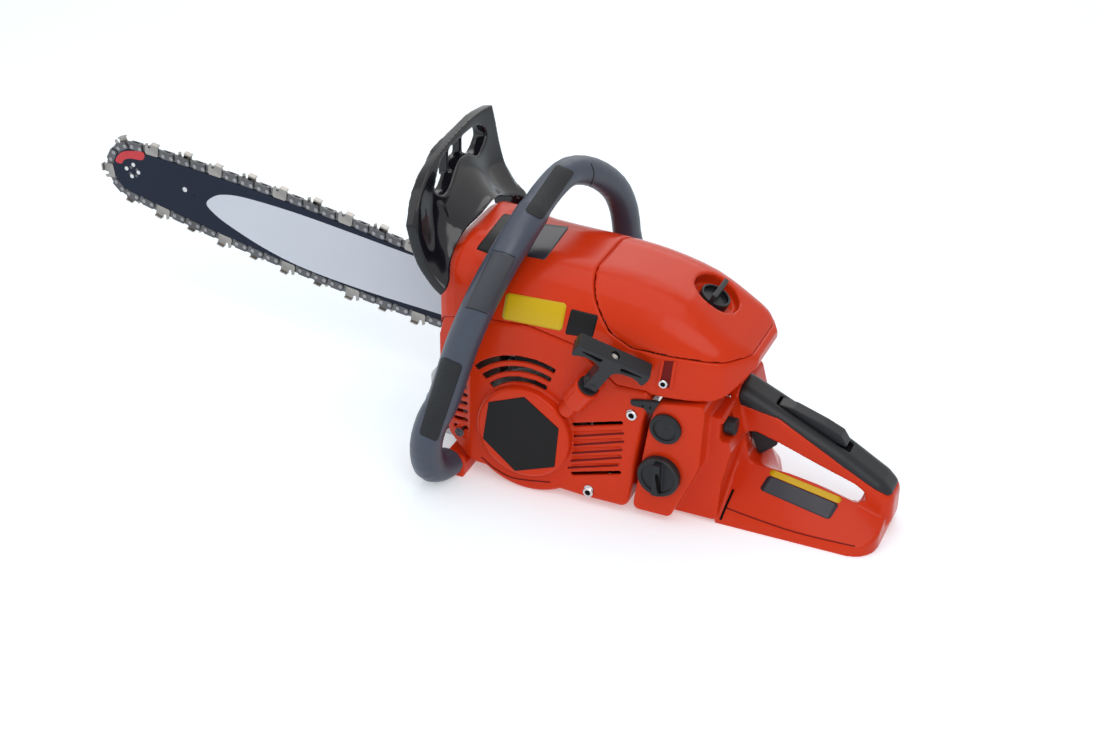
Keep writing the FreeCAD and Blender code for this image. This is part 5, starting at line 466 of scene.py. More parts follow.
def patch(name, corners, node, material, lift=0.35, columns=16, rows=12, round_share=0.04,
          cell=1):
    """A thin sheet on a node's surface, between four corners placed in the photograph."""
    top_left, top_right, low_right, low_left = corners
    points = []
    uvs = []
    wide = math.dist(top_left, top_right)
    tall = math.dist(top_left, low_left)
    for row in range(rows + 1):
        for column in range(columns + 1):
            s = column / columns
            t = row / rows
            nearest = min(t, 1 - t) * tall / (round_share * wide)
            pull = round_share * (1 - math.sqrt(max(0, 1 - (1 - min(1, nearest)) ** 2)))
            s = pull + (1 - 2 * pull) * s
            upper = between(top_left, top_right, s)
            lower = between(low_left, low_right, s)
            point, normal = on_surface(between(upper, lower, t), node)
            points.append(point + normal * lift * MM)
            uvs.append((s * wide / cell, t * tall / cell))
    starts = [row * (columns + 1) + column for row in range(rows) for column in range(columns)]
    faces = [(a, a + columns + 1, a + columns + 2, a + 1) for a in starts]
    piece = mesh_piece(name, points, faces, material, node, SOFT_EDGE, uvs)
    thicken(piece, lift, -1, material)


def on_curve(a, b, c, d, share):
    """The number or place at a share of the way from b to c, on a smooth curve through all four."""
    return (2 * b + (c - a) * share + (2 * a - 5 * b + 4 * c - d) * share ** 2
            + (3 * b - a - 3 * c + d) * share ** 3) / 2


def smooth_run(rows, parts):
    """The rows with more between them, each column on a smooth curve through its numbers."""
    last = len(rows) - 1
    result = []
    for index in range(last):
        four = [rows[min(max(index + shift, 0), last)] for shift in (-1, 0, 1, 2)]
        for step in range(parts):
            result.append(tuple(on_curve(*column, step / parts) for column in zip(*four)))
    result.append(tuple(rows[last]))
    return result


def ribbon(name, places, width, node, material, lift=0.2):
    """A narrow strip on a node's surface, along places in the photograph."""
    places = [Vector(place) for place in smooth_run(places, STRIP_PARTS)]
    points = []
    for index, place in enumerate(places):
        way = (places[min(index + 1, len(places) - 1)] - places[max(index - 1, 0)]).normalized()
        across = Vector((-way.y, way.x)) * width / 2
        for edge in (place - across, place + across):
            point, normal = on_surface(edge, node)
            points.append(point + normal * lift * MM)
    faces = [(2 * k, 2 * k + 1, 2 * k + 3, 2 * k + 2) for k in range(len(places) - 1)]
    piece = mesh_piece(name, points, faces, material, node, SOFT_EDGE)
    thicken(piece, lift, 0, material)


def curved(points, parts=4):
    """A closed row of places with more between them, on a smooth curve."""
    count = len(points)
    result = []
    for index in range(count):
        four = [Vector(points[(index + shift) % count]) for shift in (-1, 0, 1, 2)]
        result += [on_curve(*four, step / parts) for step in range(parts)]
    return result


# Plates and turned pieces


def circle(radius, parts):
    """Places spread evenly round a circle."""
    return [(radius * math.cos(2 * math.pi * part / parts),
             radius * math.sin(2 * math.pi * part / parts)) for part in range(parts)]


def turn_to(axis):
    """The turn that brings the upright direction to an axis."""
    return Vector((0, 0, 1)).rotation_difference(Vector(axis)).to_matrix()


def side_plate(name, outline, start, end, material, node, bevel=0.4, smooth=True):
    """A plate parallel to the saw's side: its outline is placed in the photograph."""
    places = curved(outline) if smooth else [Vector(place) for place in outline]
    front = [at_depth(place, end * MM) for place in places]
    prism(name, front, Vector((0, (start - end) * MM, 0)), material, node, bevel)


def prism(name, front, depth, material, node, bevel=0.4):
    """A plate with the given front outline and depth, and rounded front edges."""
    count = len(front)
    shape = bmesh.new()
    near = [shape.verts.new(point) for point in front]
    far = [shape.verts.new(point + depth) for point in front]
    cap = shape.faces.new(near)
    shape.faces.new(far[::-1])
    for index in range(count):
        after = (index + 1) % count
        shape.faces.new((near[after], near[index], far[index], far[after]))
    bmesh.ops.recalc_face_normals(shape, faces=shape.faces)
    if bevel:
        bmesh.ops.bevel(shape, geom=list(cap.edges), offset=bevel * MM, segments=2,
                        affect="EDGES")
    mesh = bpy.data.meshes.new(name)
    shape.to_mesh(mesh)
    shape.free()
    shade_smooth(mesh, PLATE_EDGE)
    finish_piece(bpy.data.objects.new(name, mesh), material, node)


def lathe(name, profile, place, axis, material, node, parts=40):
    """A turned piece: the profile is rows of radius and height along the axis, in millimetres."""
    turn = turn_to(axis)
    points = [Vector(place) + turn @ (Vector((x, y, height)) * MM)
              for radius, height in profile for x, y in circle(radius, parts)]
    faces = [(row * parts + part, row * parts + (part + 1) % parts,
              (row + 1) * parts + (part + 1) % parts, (row + 1) * parts + part)
             for row in range(len(profile) - 1) for part in range(parts)]
    faces.append(tuple(range(parts))[::-1])
    last = (len(profile) - 1) * parts
    faces.append(tuple(range(last, last + parts)))
    mesh_piece(name, points, faces, material, node, TURNED_EDGE)


SCREW_RISE = 1.9
SCREW_SHOULDER = 1.4
SCREW_FACE_SHARE = 0.9
SOCKET_SHARE = 0.52
SOCKET_LIP_SHARE = 1.12
SOCKET_FLOOR = 0.6
SOCKET_TOP = 1.2
SOCKET_THICKNESS = 0.4


def socket_screw(name, place, axis, radius, material, node):
    """A round screw head with a sunk hexagon, whose black floor is painted shade."""
    hexagon = radius * SOCKET_SHARE
    profile = [(radius, 0), (radius, SCREW_SHOULDER), (radius * SCREW_FACE_SHARE, SCREW_RISE),
               (hexagon * SOCKET_LIP_SHARE, SCREW_RISE), (hexagon, SCREW_SHOULDER),
               (hexagon, SOCKET_FLOOR)]
    lathe(name, profile, place, axis, material, node)
    turn = turn_to(axis)
    centre = Vector(place) + Vector(axis) * SOCKET_TOP * MM
    ring = [centre + turn @ Vector((x, y, 0)) * MM for x, y in circle(hexagon, 6)]
    prism(name + "_socket", ring, Vector(axis) * -SOCKET_THICKNESS * MM, painted_shade_black, node, bevel=0)


DISC_SUNK = 1
DISC_CORNER_SHARE = 0.3


def disc_profile(radius, rise, edge=0.4):
    """The profile of a low disc with a rounded rim."""
    corner = edge * DISC_CORNER_SHARE
    return [(radius, -DISC_SUNK), (radius, rise - edge), (radius - corner, rise - corner),
            (radius - edge, rise)]


def side_face(node, sunk=0):
    """The middle of a node's face on the saw's left, moved inward by a depth in millimetres."""
    low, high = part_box(node)
    return Vector(((low.x + high.x) / 2, high.y - sunk * MM, (low.z + high.z) / 2))


LEFT = Vector((0, 1, 0))
FORWARD = Vector((1, 0, 0))
ROUND_PARTS = 24

# Closed solids in millimetres, which are joined and softened


def raw_mesh(name, solids):
    """One mesh from closed solids, each given as points in millimetres and faces."""
    shape = bmesh.new()
    for points, faces in solids:
        made = [shape.verts.new(Vector(point) * MM) for point in points]
        for face in faces:
            shape.faces.new([made[index] for index in face])
    bmesh.ops.recalc_face_normals(shape, faces=shape.faces)
    mesh = bpy.data.meshes.new(name)
    shape.to_mesh(mesh)
    shape.free()
    return mesh


def column_solid(base, depth):
    """A closed solid between an outline and its copy moved by depth."""
    count = len(base)
    points = [Vector(point) for point in base] + [Vector(point) + Vector(depth) for point in base]
    faces = [tuple(range(count)), tuple(range(count, 2 * count))[::-1]]
    faces += [(k, (k + 1) % count, count + (k + 1) % count, count + k) for k in range(count)]
    return points, faces


def cut_away(piece, cutter_mesh):
    """Takes a closed mesh away from a piece."""
    cutter = bpy.data.objects.new("cutter", cutter_mesh)
    bpy.context.scene.collection.objects.link(cutter)
    cut = piece.modifiers.new("cut", "BOOLEAN")
    cut.operation = "DIFFERENCE"
    cut.solver = "EXACT"
    cut.object = cutter
    bake_modifiers(piece)
    bpy.data.objects.remove(cutter)


def add_mesh(piece, mesh):
    """Joins a mesh to a piece."""
    shape = bmesh.new()
    shape.from_mesh(piece.data)
    shape.from_mesh(mesh)
    shape.to_mesh(piece.data)
    shape.free()


# Hand guard: a curved sheet with a thick rim, a flange, a deep slot and two arms

GUARD_REACH = 110
GUARD_RISE = 275
GUARD_ROW_SHARES = [
    (-0.58, 0.555, 0.702, 0.836, 0.985), (-0.36, 0.627, 0.742, 0.864, 0.989),
    (-0.09, 0.59, 0.785, 0.873, 0.982), (0.18, 0.573, 0.785, 0.873, 0.967),
    (0.41, 0.60, 0.767, 0.864, 0.945), (0.545, 0.636, 0.70, 0.855, 0.913),
    (0.655, 0.60, 0.655, 0.845, 0.873), (0.727, 0.60, 0.635, 0.85, 0.82)]
GUARD_PROFILE_SHARES = [(0, 0), (0.24, 0.1), (0.57, 0.31), (0.76, 0.545), (0.9, 0.82), (1, 1)]
GUARD_PARTS = 8
GUARD_SHEET = 3.5
GUARD_RIM = 10
RIM_START = (0.80, 0.88)
FLANGE_START = (74, 76.5)
GUARD_SLOT_SHARES = [(-0.427, 0.909), (-0.327, 0.955), (0.073, 0.955), (0.273, 0.937),
                     (0.427, 0.885), (0.364, 0.858), (0.245, 0.865), (0.036, 0.905),
                     (-0.109, 0.905), (-0.273, 0.876)]
SLOT_CUT_START = 20
SLOT_CUT_REACH = 180
SLOT_DEPTH = 12
SLOT_RIM_SHARE = 0.9
SLOT_WALL = 2.2
SLOT_WALL_INNER_START = 0.6
SLOT_WALL_OUTER_START = 1.2
RIB_PLACES = (-9, 15)
RIB_NEAR = 9
RIB_HALF_WIDTH = 1.2
RIB_START = 3
RIB_OVERRUN = 1
LEFT_ARM_SHARES = [(0.60, 0.535), (0.74, 0.535), (0.86, 0.59), (0.9, 0.69), (0.9, 0.79),
                   (0.82, 0.86), (0.70, 0.79), (0.68, 0.775), (0.765, 0.725), (0.80, 0.66),
                   (0.76, 0.62), (0.62, 0.6)]
RIGHT_ARM_SHARES = [(0.6, 0.53), (0.73, 0.53), (0.8, 0.65), (0.86, 0.74), (0.86, 0.85),
                    (0.76, 0.80), (0.66, 0.74), (0.56, 0.70), (0.56, 0.62)]
ARM_PARTS = 3
GUARD_ARMS = [(LEFT_ARM_SHARES, 41, 49, 55), (RIGHT_ARM_SHARES, -60, -68, -74)]
GUARD_PIVOT = (72, 155)
EYE_RADIUS = 9
PIN_RADIUS = 4
GUARD_VOXEL = 0.8
GUARD_ROUNDS = 24


def guard_sheet():
    """The points and faces of the guard's curved sheet, in millimetres."""
    rows = smooth_run(GUARD_ROW_SHARES, GUARD_PARTS)
    profile = smooth_run(GUARD_PROFILE_SHARES, GUARD_PARTS)
    wide = len(profile)
    rear = []
    front = []
    for y, low_x, low_z, high_x, high_z in rows:
        for across, rise in profile:
            x = (low_x + (high_x - low_x) * across) * GUARD_REACH
            z = (low_z + (high_z - low_z) * rise) * GUARD_RISE
            rear.append(Vector((x, y * GUARD_REACH, z)))
    for index, point in enumerate(rear):
        row, column = divmod(index, wide)
        above = rear[row * wide + min(column + 1, wide - 1)]
        below = rear[row * wide + max(column - 1, 0)]
        beside = rear[min(row + 1, len(rows) - 1) * wide + column]
        before = rear[max(row - 1, 0) * wide + column]
        normal = (beside - before).cross(above - below).normalized()
        if normal.x < 0:
            normal = -normal
        thick = GUARD_SHEET + (GUARD_RIM - GUARD_SHEET) * max(
            eased(profile[column][1], *RIM_START), eased(point.y, *FLANGE_START))
        front.append(point + Vector((normal.x, 0, normal.z)) * thick)
    count = len(rear)
    faces = []
    for row in range(len(rows) - 1):
        for column in range(wide - 1):
            a = row * wide + column
            faces.append((a, a + 1, a + wide + 1, a + wide))
            faces.append((count + a, count + a + wide, count + a + wide + 1, count + a + 1))
    edge = (list(range(wide))
            + [row * wide + wide - 1 for row in range(1, len(rows))]
            + [(len(rows) - 1) * wide + column for column in range(wide - 2, -1, -1)]
            + [row * wide for row in range(len(rows) - 2, 0, -1)])
    for index, a in enumerate(edge):
        b = edge[(index + 1) % len(edge)]
        faces.append((a, count + a, count + b, b))
    return rear + front, faces


def slot_wall(outline, search):
    """The closed band round the guard's slot."""
    count = len(outline)
    area = sum(outline[k - 1].cross(outline[k]) for k in range(count))
    turn = 1 if area > 0 else -1
    inner = []
    outer = []
    for index, (y, z) in enumerate(outline):
        way = outline[(index + 1) % count] - outline[index - 1]
        out = Vector((way.y, -way.x)).normalized() * turn
        point = search.ray_cast(Vector((0, y, z)), FORWARD)[0]
        start = point.x if point else GUARD_REACH * SLOT_RIM_SHARE
        inner.append(Vector((start + SLOT_WALL_INNER_START, y, z)))
        outer.append(Vector((start + SLOT_WALL_OUTER_START, y, z))
                     + Vector((0, *out)) * SLOT_WALL)
    depth = Vector((SLOT_DEPTH, 0, 0))
    ring = inner + [point + depth for point in inner] + [point + depth for point in outer] + outer
    faces = []
    for index in range(count):
        after = (index + 1) % count
        for loop in range(4):
            other = (loop + 1) % 4
            faces.append((loop * count + index, loop * count + after, other * count + after,
                          other * count + index))
    return ring, faces


def slot_ribs(outline, search):
    """The upright ribs in the guard's slot."""
    ribs = []
    for y in RIB_PLACES:
        heights = [place.y for place in outline if abs(place.x - y) < RIB_NEAR]
        middle = Vector((0, y, sum(heights) / len(heights)))
        start = search.ray_cast(middle, FORWARD)[0].x + RIB_START
        low = min(heights) - RIB_OVERRUN
        high = max(heights) + RIB_OVERRUN
        near = y - RIB_HALF_WIDTH
        far = y + RIB_HALF_WIDTH
        ribs.append(column_solid([(start, near, low), (start, far, low), (start, far, high),
                                  (start, near, high)], (SLOT_DEPTH - RIB_START, 0, 0)))
    return ribs


def guard_arms():
    """The arms down to the guard's pivot, each with its eye and pin."""
    solids = []
    for shares, start, end, tip in GUARD_ARMS:
        base = [(x * GUARD_REACH, start, z * GUARD_RISE) for x, z in curved(shares, ARM_PARTS)]
        solids.append(column_solid(base, (0, end - start, 0)))
        for radius, last in ((EYE_RADIUS, end), (PIN_RADIUS, tip)):
            disc = [(GUARD_PIVOT[0] + x, start, GUARD_PIVOT[1] + z)
                    for x, z in circle(radius, ROUND_PARTS)]
            solids.append(column_solid(disc, (0, last - start, 0)))
    return solids


def add_guard():
    """The hand guard."""
    points, faces = guard_sheet()
    shell = bpy.data.objects.new("hand_guard_form", raw_mesh("hand_guard_form", [(points, faces)]))
    finish_piece(shell, gloss_black, "hand_guard")
    search = BVHTree.FromPolygons(points, faces)
    outline = curved([(y * GUARD_REACH, z * GUARD_RISE) for y, z in GUARD_SLOT_SHARES])
    cutter = column_solid([(SLOT_CUT_START, y, z) for y, z in outline], (SLOT_CUT_REACH, 0, 0))
    cut_away(shell, raw_mesh("slot", [cutter]))
    solids = [slot_wall(outline, search), *slot_ribs(outline, search), *guard_arms()]
    add_mesh(shell, raw_mesh("guard_arms", solids))
    soften(shell, GUARD_VOXEL, GUARD_ROUNDS, gloss_black)
    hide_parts("hand_guard")


add_guard()

# Starter grip: a T with windows in its sides, a hole for the knot and a ball at its foot

ROPE_EXIT = Vector((-51, 80, 112))
ROPE_WAY = Vector((-0.54, 0.19, 0.82)).normalized()
GRIP_TURN = math.radians(22)
bar_way = Vector((-ROPE_WAY.z, 0, ROPE_WAY.x)).normalized()
bar_way.rotate(Matrix.Rotation(GRIP_TURN, 3, ROPE_WAY))
grip_frame = Matrix((bar_way, ROPE_WAY.cross(bar_way), ROPE_WAY)).transposed()
GRIP_HALF_WIDTH = 6.5
GRIP_OUTLINE = [(30.5, 57.4), (31.5, 52), (31, 45), (29, 43.2), (26, 45.5), (20, 47.6),
                (12, 46.6), (7.5, 44.5), (5.4, 41), (5.4, 14)]
GRIP_WINDOW = [(8, 53.3), (8.4, 49.4), (11, 49.3), (25.5, 51.9), (25.5, 53)]
WINDOW_DEPTH = 3.5
GRIP_TOP = 57.4
KNOT_HOLE_RADIUS = 3.6
KNOT_HOLE_DEPTH = 5
WINDOW_CUT = 8
KNOT_HOLE_CUT = 12
BALL_PLACE = 18.4
BALL_RADIUS = 7.6
KNOT_PLACES = [(0.75, 0), (-0.75, 0.36), (0.1, -0.9)]
KNOT_SUNK = 3.4
KNOT_RADIUS = 2.3
GRIP_VOXEL = 0.4
GRIP_ROUNDS = 4
KNOT_VOXEL = 0.3
KNOT_ROUNDS = 3


def on_grip(point):
    """A place on the rope's line, from the grip's own across, side and along, in millimetres."""
    return ROPE_EXIT + grip_frame @ Vector(point)


def ball_solid(centre, radius, parts=20, rings=12):
    """A closed ball."""
    points = [centre + Vector((0, 0, -radius))]
    for ring in range(1, rings):
        tilt = math.pi * ring / rings
        points += [centre + Vector((x, y, -radius * math.cos(tilt)))
                   for x, y in circle(radius * math.sin(tilt), parts)]
    points.append(centre + Vector((0, 0, radius)))
    faces = [(0, 1 + (part + 1) % parts, 1 + part) for part in range(parts)]
    for ring in range(rings - 2):
        for part in range(parts):
            after = (part + 1) % parts
            first = 1 + ring * parts
            faces.append((first + part, first + after, first + parts + after,
                          first + parts + part))
    last = len(points) - 1
    first = 1 + (rings - 2) * parts
    faces += [(last, first + part, first + (part + 1) % parts) for part in range(parts)]
    return points, faces


def placed_on_grip(solid):
    """A solid drawn in the grip's own directions, put in its place."""
    points, faces = solid
    return [on_grip(point) for point in points], faces


def add_starter_grip():
    """The starter grip and the knot in its hole."""
    outline = GRIP_OUTLINE + [(-x, z) for x, z in GRIP_OUTLINE[::-1]]
    bar = column_solid([(x, -GRIP_HALF_WIDTH, z) for x, z in outline],
                       (0, 2 * GRIP_HALF_WIDTH, 0))
    grip = bpy.data.objects.new("starter_grip_form",
                                raw_mesh("starter_grip_form", [placed_on_grip(bar)]))
    finish_piece(grip, satin_black, "starter_grip")
    cutters = []
    for mirror in (1, -1):
        for side in (1, -1):
            base = [(mirror * x, side * (GRIP_HALF_WIDTH - WINDOW_DEPTH), z)
                    for x, z in GRIP_WINDOW]
            cutters.append(placed_on_grip(column_solid(base, (0, side * WINDOW_CUT, 0))))
    hole = [(x, y, GRIP_TOP - KNOT_HOLE_DEPTH) for x, y in circle(KNOT_HOLE_RADIUS, ROUND_PARTS)]
    cutters.append(placed_on_grip(column_solid(hole, (0, 0, KNOT_HOLE_CUT))))
    cut_away(grip, raw_mesh("grip_cutters", cutters))
    ball = ball_solid(Vector((0, 0, BALL_PLACE)), BALL_RADIUS)
    add_mesh(grip, raw_mesh("grip_ball", [placed_on_grip(ball)]))
    soften(grip, GRIP_VOXEL, GRIP_ROUNDS, satin_black)
    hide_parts("starter_grip")
    knot = bpy.data.objects.new("rope_knot", raw_mesh("rope_knot", [
        placed_on_grip(ball_solid(Vector((x, y, GRIP_TOP - KNOT_SUNK)), KNOT_RADIUS))
        for x, y in KNOT_PLACES]))
    finish_piece(knot, cord_fibre, "starter_grip")
    soften(knot, KNOT_VOXEL, KNOT_ROUNDS, cord_fibre)


add_starter_grip()

# Guide bar: pale field, red mark, nose rivets, grease eye and rivets of the chain

bar_low, bar_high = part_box("guide_bar")
bar_face = bar_high.y / MM
PAINT_SUNK = 0.3
PAINT_RISE = 0.12
BAR_FIELD = [(206.5, 203), (213, 197), (223, 194.8), (243.7, 197.5), (289.6, 211), (340.6, 229),
             (409.5, 254.5), (470, 276), (478, 292), (470, 325), (441, 314.5), (366, 291),
             (305, 268.6), (264, 248), (228.4, 225), (212, 211.5)]
BAR_MARK = [(115.5, 161), (119, 154), (127, 151), (143, 152.5), (142.5, 160), (130, 158.5),
            (124, 160), (121.5, 163.5)]
for name, outline, material in (("bar_field", BAR_FIELD, bar_white),
                                ("bar_mark", BAR_MARK, mark_red)):
    side_plate(name, outline, bar_face - PAINT_SUNK, bar_face + PAINT_RISE, material, "guide_bar",
               bevel=0)
SMALL_PARTS = 20
NOSE_RIVETS = [(126.8, 168.3), (133.5, 164.7), (138.6, 172.4), (132.2, 176)]
NOSE_RIVET_RADIUS = 2.1
NOSE_RIVET_RISE = 0.5
for number, place in enumerate(NOSE_RIVETS):
    lathe(f"nose_rivet_{number + 1}", disc_profile(NOSE_RIVET_RADIUS, NOSE_RIVET_RISE),
          at_depth(place, bar_high.y), LEFT, bright_steel, "guide_bar", SMALL_PARTS)
GREASE_EYE = (185, 189.5)
GREASE_EYE_PROFILE = [(2.4, -0.5), (2.4, 0.25), (1.6, 0.25), (1.5, 0.0)]
lathe("bar_grease_eye", GREASE_EYE_PROFILE, at_depth(GREASE_EYE, bar_high.y), LEFT, bright_steel,
      "guide_bar", SMALL_PARTS)
MERGE_REACH = 0.01


def islands(node):
    """The points of each separate body in a node's mesh."""
    shape = bmesh.new()
    shape.from_mesh(nodes[node].data)
    bmesh.ops.remove_doubles(shape, verts=shape.verts, dist=MERGE_REACH * MM)
    left = set(shape.verts)
    found = []
    while left:
        stack = [left.pop()]
        group = []
        while stack:
            vertex = stack.pop()
            group.append(vertex.co.copy())
            for edge in vertex.link_edges:
                other = edge.other_vert(vertex)
                if other in left:
                    left.remove(other)
                    stack.append(other)
        found.append(group)
    shape.free()
    return found


STRAP_RIVET_PROFILE = [(1.9, -0.3), (1.9, 0.35), (1.14, 0.6)]
STRAP_RIVET_SPREAD = 4.13
STRAP_RIVET_PARTS = 10


def add_rivets():
    """Rivet heads at both ends of every strap, on both sides of the chain, as one piece."""
    points = []
    faces = []
    parts = STRAP_RIVET_PARTS
    last = len(STRAP_RIVET_PROFILE) - 1
    for group in islands("chain_tie_straps"):
        centre = sum(group, Vector()) / len(group)
        spread_x = sum((point.x - centre.x) ** 2 for point in group)
        spread_z = sum((point.z - centre.z) ** 2 for point in group)
        both = sum((point.x - centre.x) * (point.z - centre.z) for point in group)
        lean = math.atan2(2 * both, spread_x - spread_z) / 2
        along = Vector((math.cos(lean), 0, math.sin(lean)))
        side = 1 if centre.y > (bar_low.y + bar_high.y) / 2 else -1
        face_y = (max if side > 0 else min)(point.y for point in group)
        for end in (1, -1):
            spot = Vector((centre.x, face_y, centre.z)) + along * end * STRAP_RIVET_SPREAD * MM
            first = len(points)
            points += [spot + Vector((x, side * height, z)) * MM
                       for radius, height in STRAP_RIVET_PROFILE for x, z in circle(radius, parts)]
            for row in range(last):
                for part in range(parts):
                    after = (part + 1) % parts
                    faces.append((first + row * parts + part, first + (row + 1) * parts + part,
                                  first + (row + 1) * parts + after, first + row * parts + after))
            faces.append(tuple(first + last * parts + part for part in range(parts)))
    piece = mesh_piece("chain_rivets", points, faces, rivet_steel, "chain_tie_straps")
    shape = bmesh.new()
    shape.from_mesh(piece.data)
    bmesh.ops.recalc_face_normals(shape, faces=shape.faces)
    shape.to_mesh(piece.data)
    shape.free()


add_rivets()

# Starter side: plate on the hub, screws, tab, and painted shade in the grooves and under the ridge

HUB_FACE = 81
HUB_PLATE = [(524, 397.2), (558.4, 428.9), (554.3, 467.2), (514.8, 471.1), (482.7, 438.5),
             (488.4, 402.3)]
PLATE_SUNK = 0.4
PLATE_RISE = 0.5
side_plate("hub_plate", HUB_PLATE, HUB_FACE - PLATE_SUNK, HUB_FACE + PLATE_RISE, label_dark,
           "starter_cover", bevel=0.2, smooth=False)
STARTER_SIDE = 72
SCREW_PLACES = [(631.9, 414.9), (588.3, 491.8)]
COVER_SCREW_RADIUS = 4.3
for number, place in enumerate(SCREW_PLACES):
    socket_screw(f"cover_screw_{number + 1}", at_depth(place, STARTER_SIDE * MM), LEFT,
                 COVER_SCREW_RADIUS, bright_steel, "starter_cover")
RUBBER_TAB = [(630.3, 402.6), (632.5, 400.4), (652.5, 401.6), (658.6, 403.2), (657, 407),
              (651.4, 412), (646.8, 413.3), (643.4, 408.9), (632.4, 406)]
TAB_SUNK = 0.5
TAB_RISE = 2.2
side_plate("rubber_tab", RUBBER_TAB, STARTER_SIDE - TAB_SUNK, STARTER_SIDE + TAB_RISE,
           satin_black, "starter_cover", bevel=0.5)
# Painted shade: black discs where the tab's holes are.
TAB_HOLES = [(642.7, 406.4), (650.2, 408)]
TAB_HOLE_RADIUS = 1.0
TAB_HOLE_RISE = 0.15
for number, place in enumerate(TAB_HOLES):
    lathe(f"tab_hole_{number + 1}", disc_profile(TAB_HOLE_RADIUS, TAB_HOLE_RISE, edge=0.1),
          at_depth(place, (STARTER_SIDE + TAB_RISE) * MM), LEFT, painted_shade_black, "starter_cover",
          parts=16)
GROOVES = [[(573.8, 436.2), (623.9, 433.3)], [(573.8, 445), (623.9, 441.5)],
           [(572.2, 453), (622.2, 450)], [(571, 460.8), (621.6, 457.6)],
           [(568, 467.7), (618.1, 465.4)]]
GROOVE_WIDTH = 1.7
GROOVE_LIFT = 0.3
# Painted shade: dark red strips along the cover's grooves.
for number, places in enumerate(GROOVES):
    ribbon(f"cover_groove_{number + 1}", places, GROOVE_WIDTH, "starter_cover", painted_shade_and_seam_red,
           GROOVE_LIFT)
COVER_RIDGE = [(481.5, 456.9), (495, 468.5), (514.8, 478.2), (550.4, 482.2)]
RIDGE_WIDTH = 1.0
# Painted shade: a dark red line under the cover's ridge.
ribbon("cover_ridge_inner", COVER_RIDGE, RIDGE_WIDTH, "starter_cover", painted_shade_and_seam_red)

# Starter side, inside: a black sheet behind the slots as painted shade, and the closed end of the
# rope's bore

WALL_OUTLINE = [(-44, 12), (-82, 14), (-95, 112), (-44, 112)]
WALL_SIDE = 38
WALL_THICKNESS = 2
prism("shade_sheet", [Vector((x, WALL_SIDE, z)) * MM for x, z in WALL_OUTLINE],
      Vector((0, -WALL_THICKNESS, 0)) * MM, painted_shade_black, "crankcase_left", bevel=0)
BORE_RADIUS = 7
BORE_START = -29
BUSH_START = -14.2
lathe("rope_bore_end", [(BORE_RADIUS, BORE_START), (BORE_RADIUS, BUSH_START)], ROPE_EXIT * MM,
      ROPE_WAY, red_plastic, "starter_cover")

# Upper casing: bare label plates, screw channel and its screw

LABEL_LIFT = 0.3
LABELS = [
    ("front_label", [(503.8, 213.8), (521, 217), (500, 258), (475.8, 249)], label_dark),
    ("top_label", [(543.8, 224), (569.5, 227), (545, 260), (526, 256.3)], label_slate),
    ("fuel_label", [(506.3, 292.5), (567, 303.5), (561.8, 331), (501.8, 318.6)], label_yellow),
    ("choke_label", [(571.3, 308.8), (598.5, 315.5), (592.5, 338), (565, 334)], label_dark)]
for name, corners, material in LABELS:
    patch(name, corners, "cylinder_shroud", material, LABEL_LIFT)
# Painted shade: a dark red sheet on the screw channel's floor.
CHANNEL_FLOOR = [(664.5, 360.5), (674.5, 361.2), (670, 388), (658.5, 386.5)]
patch("channel_floor", CHANNEL_FLOOR, "cylinder_shroud", painted_shade_and_seam_red, lift=0.25)
CHANNEL_RIBS = [
    ("channel_rib_rear", [(674, 360), (677.2, 360.4), (672.6, 389), (669.6, 388.6)]),
    ("channel_rib_front", [(661.8, 359.6), (664.8, 360), (659.2, 387), (656.2, 386.4)])]
for name, corners in CHANNEL_RIBS:
    patch(name, corners, "cylinder_shroud", red_plastic, lift=1.4, round_share=0.3, columns=6)
SHROUD_SCREW = (663.4, 383.5)
SHROUD_SCREW_RADIUS = 3.6
screw_spot, screw_normal = on_surface(SHROUD_SCREW, "cylinder_shroud")
socket_screw("shroud_screw", screw_spot, screw_normal, SHROUD_SCREW_RADIUS, bright_steel,
             "cylinder_shroud")

# Tank and rear handle: label plates, foot plate's lines, clip, plug and cap

FOOT_LABELS = [
    ("foot_label_top", [(771.7, 469), (842.5, 498), (839.5, 504), (768.6, 474.6)], label_yellow),
    ("foot_label_low", [(768.5, 475), (839.3, 504.4), (829.2, 520), (759.2, 489.5)], label_slate)]
for name, corners, material in FOOT_LABELS:
    patch(name, corners, "tank_and_rear_handle", material, LABEL_LIFT)
# Painted shade: the slit is a black strip; the seam is a dark red line.
FOOT_LINES = [
    ("foot_slit", [(733.5, 489.5), (727, 504), (720.5, 519.5)], 2.2, painted_shade_black, 0.3),
    ("foot_seam", [(726.5, 508), (760, 520.5), (800, 533.5), (855, 546.5)], 1.2, painted_shade_and_seam_red, 0.2),
    ("spring_clip", [(720.3, 393.8), (730.6, 397.2)], 2.2, bright_steel, 0.8)]
for name, places, width, material, lift in FOOT_LINES:
    ribbon(name, places, width, "tank_and_rear_handle", material, lift)
PLUG_RING_PROFILE = [(11.6, -1.6), (11.6, 0.25), (11.2, 0.4), (10.4, 0.4), (10, 0.25), (10, -1.6)]
PLUG_CENTRE_PROFILE = [(10, -1.6), (10, -1.0), (8.6, -0.8), (8.4, -1.0), (8.1, -0.8), (1.0, -0.8),
                       (0.9, -0.5), (0.5, -0.4)]
for name, profile in (("plug_ring", PLUG_RING_PROFILE), ("plug_centre", PLUG_CENTRE_PROFILE)):
    lathe(name, profile, side_face("buffer_plug"), LEFT, satin_black, "buffer_plug")
CAP_BAR_RISE = 6
CAP_SLOT = [(654.6, 474.5), (658, 474), (660.8, 493.5), (657.4, 494.2)]
CAP_RIM_PROFILE = [(17.3, -0.5), (17.2, 0.8), (16.6, 1.4), (14.6, 1.4), (13.6, 0.9), (13.4, -0.5)]
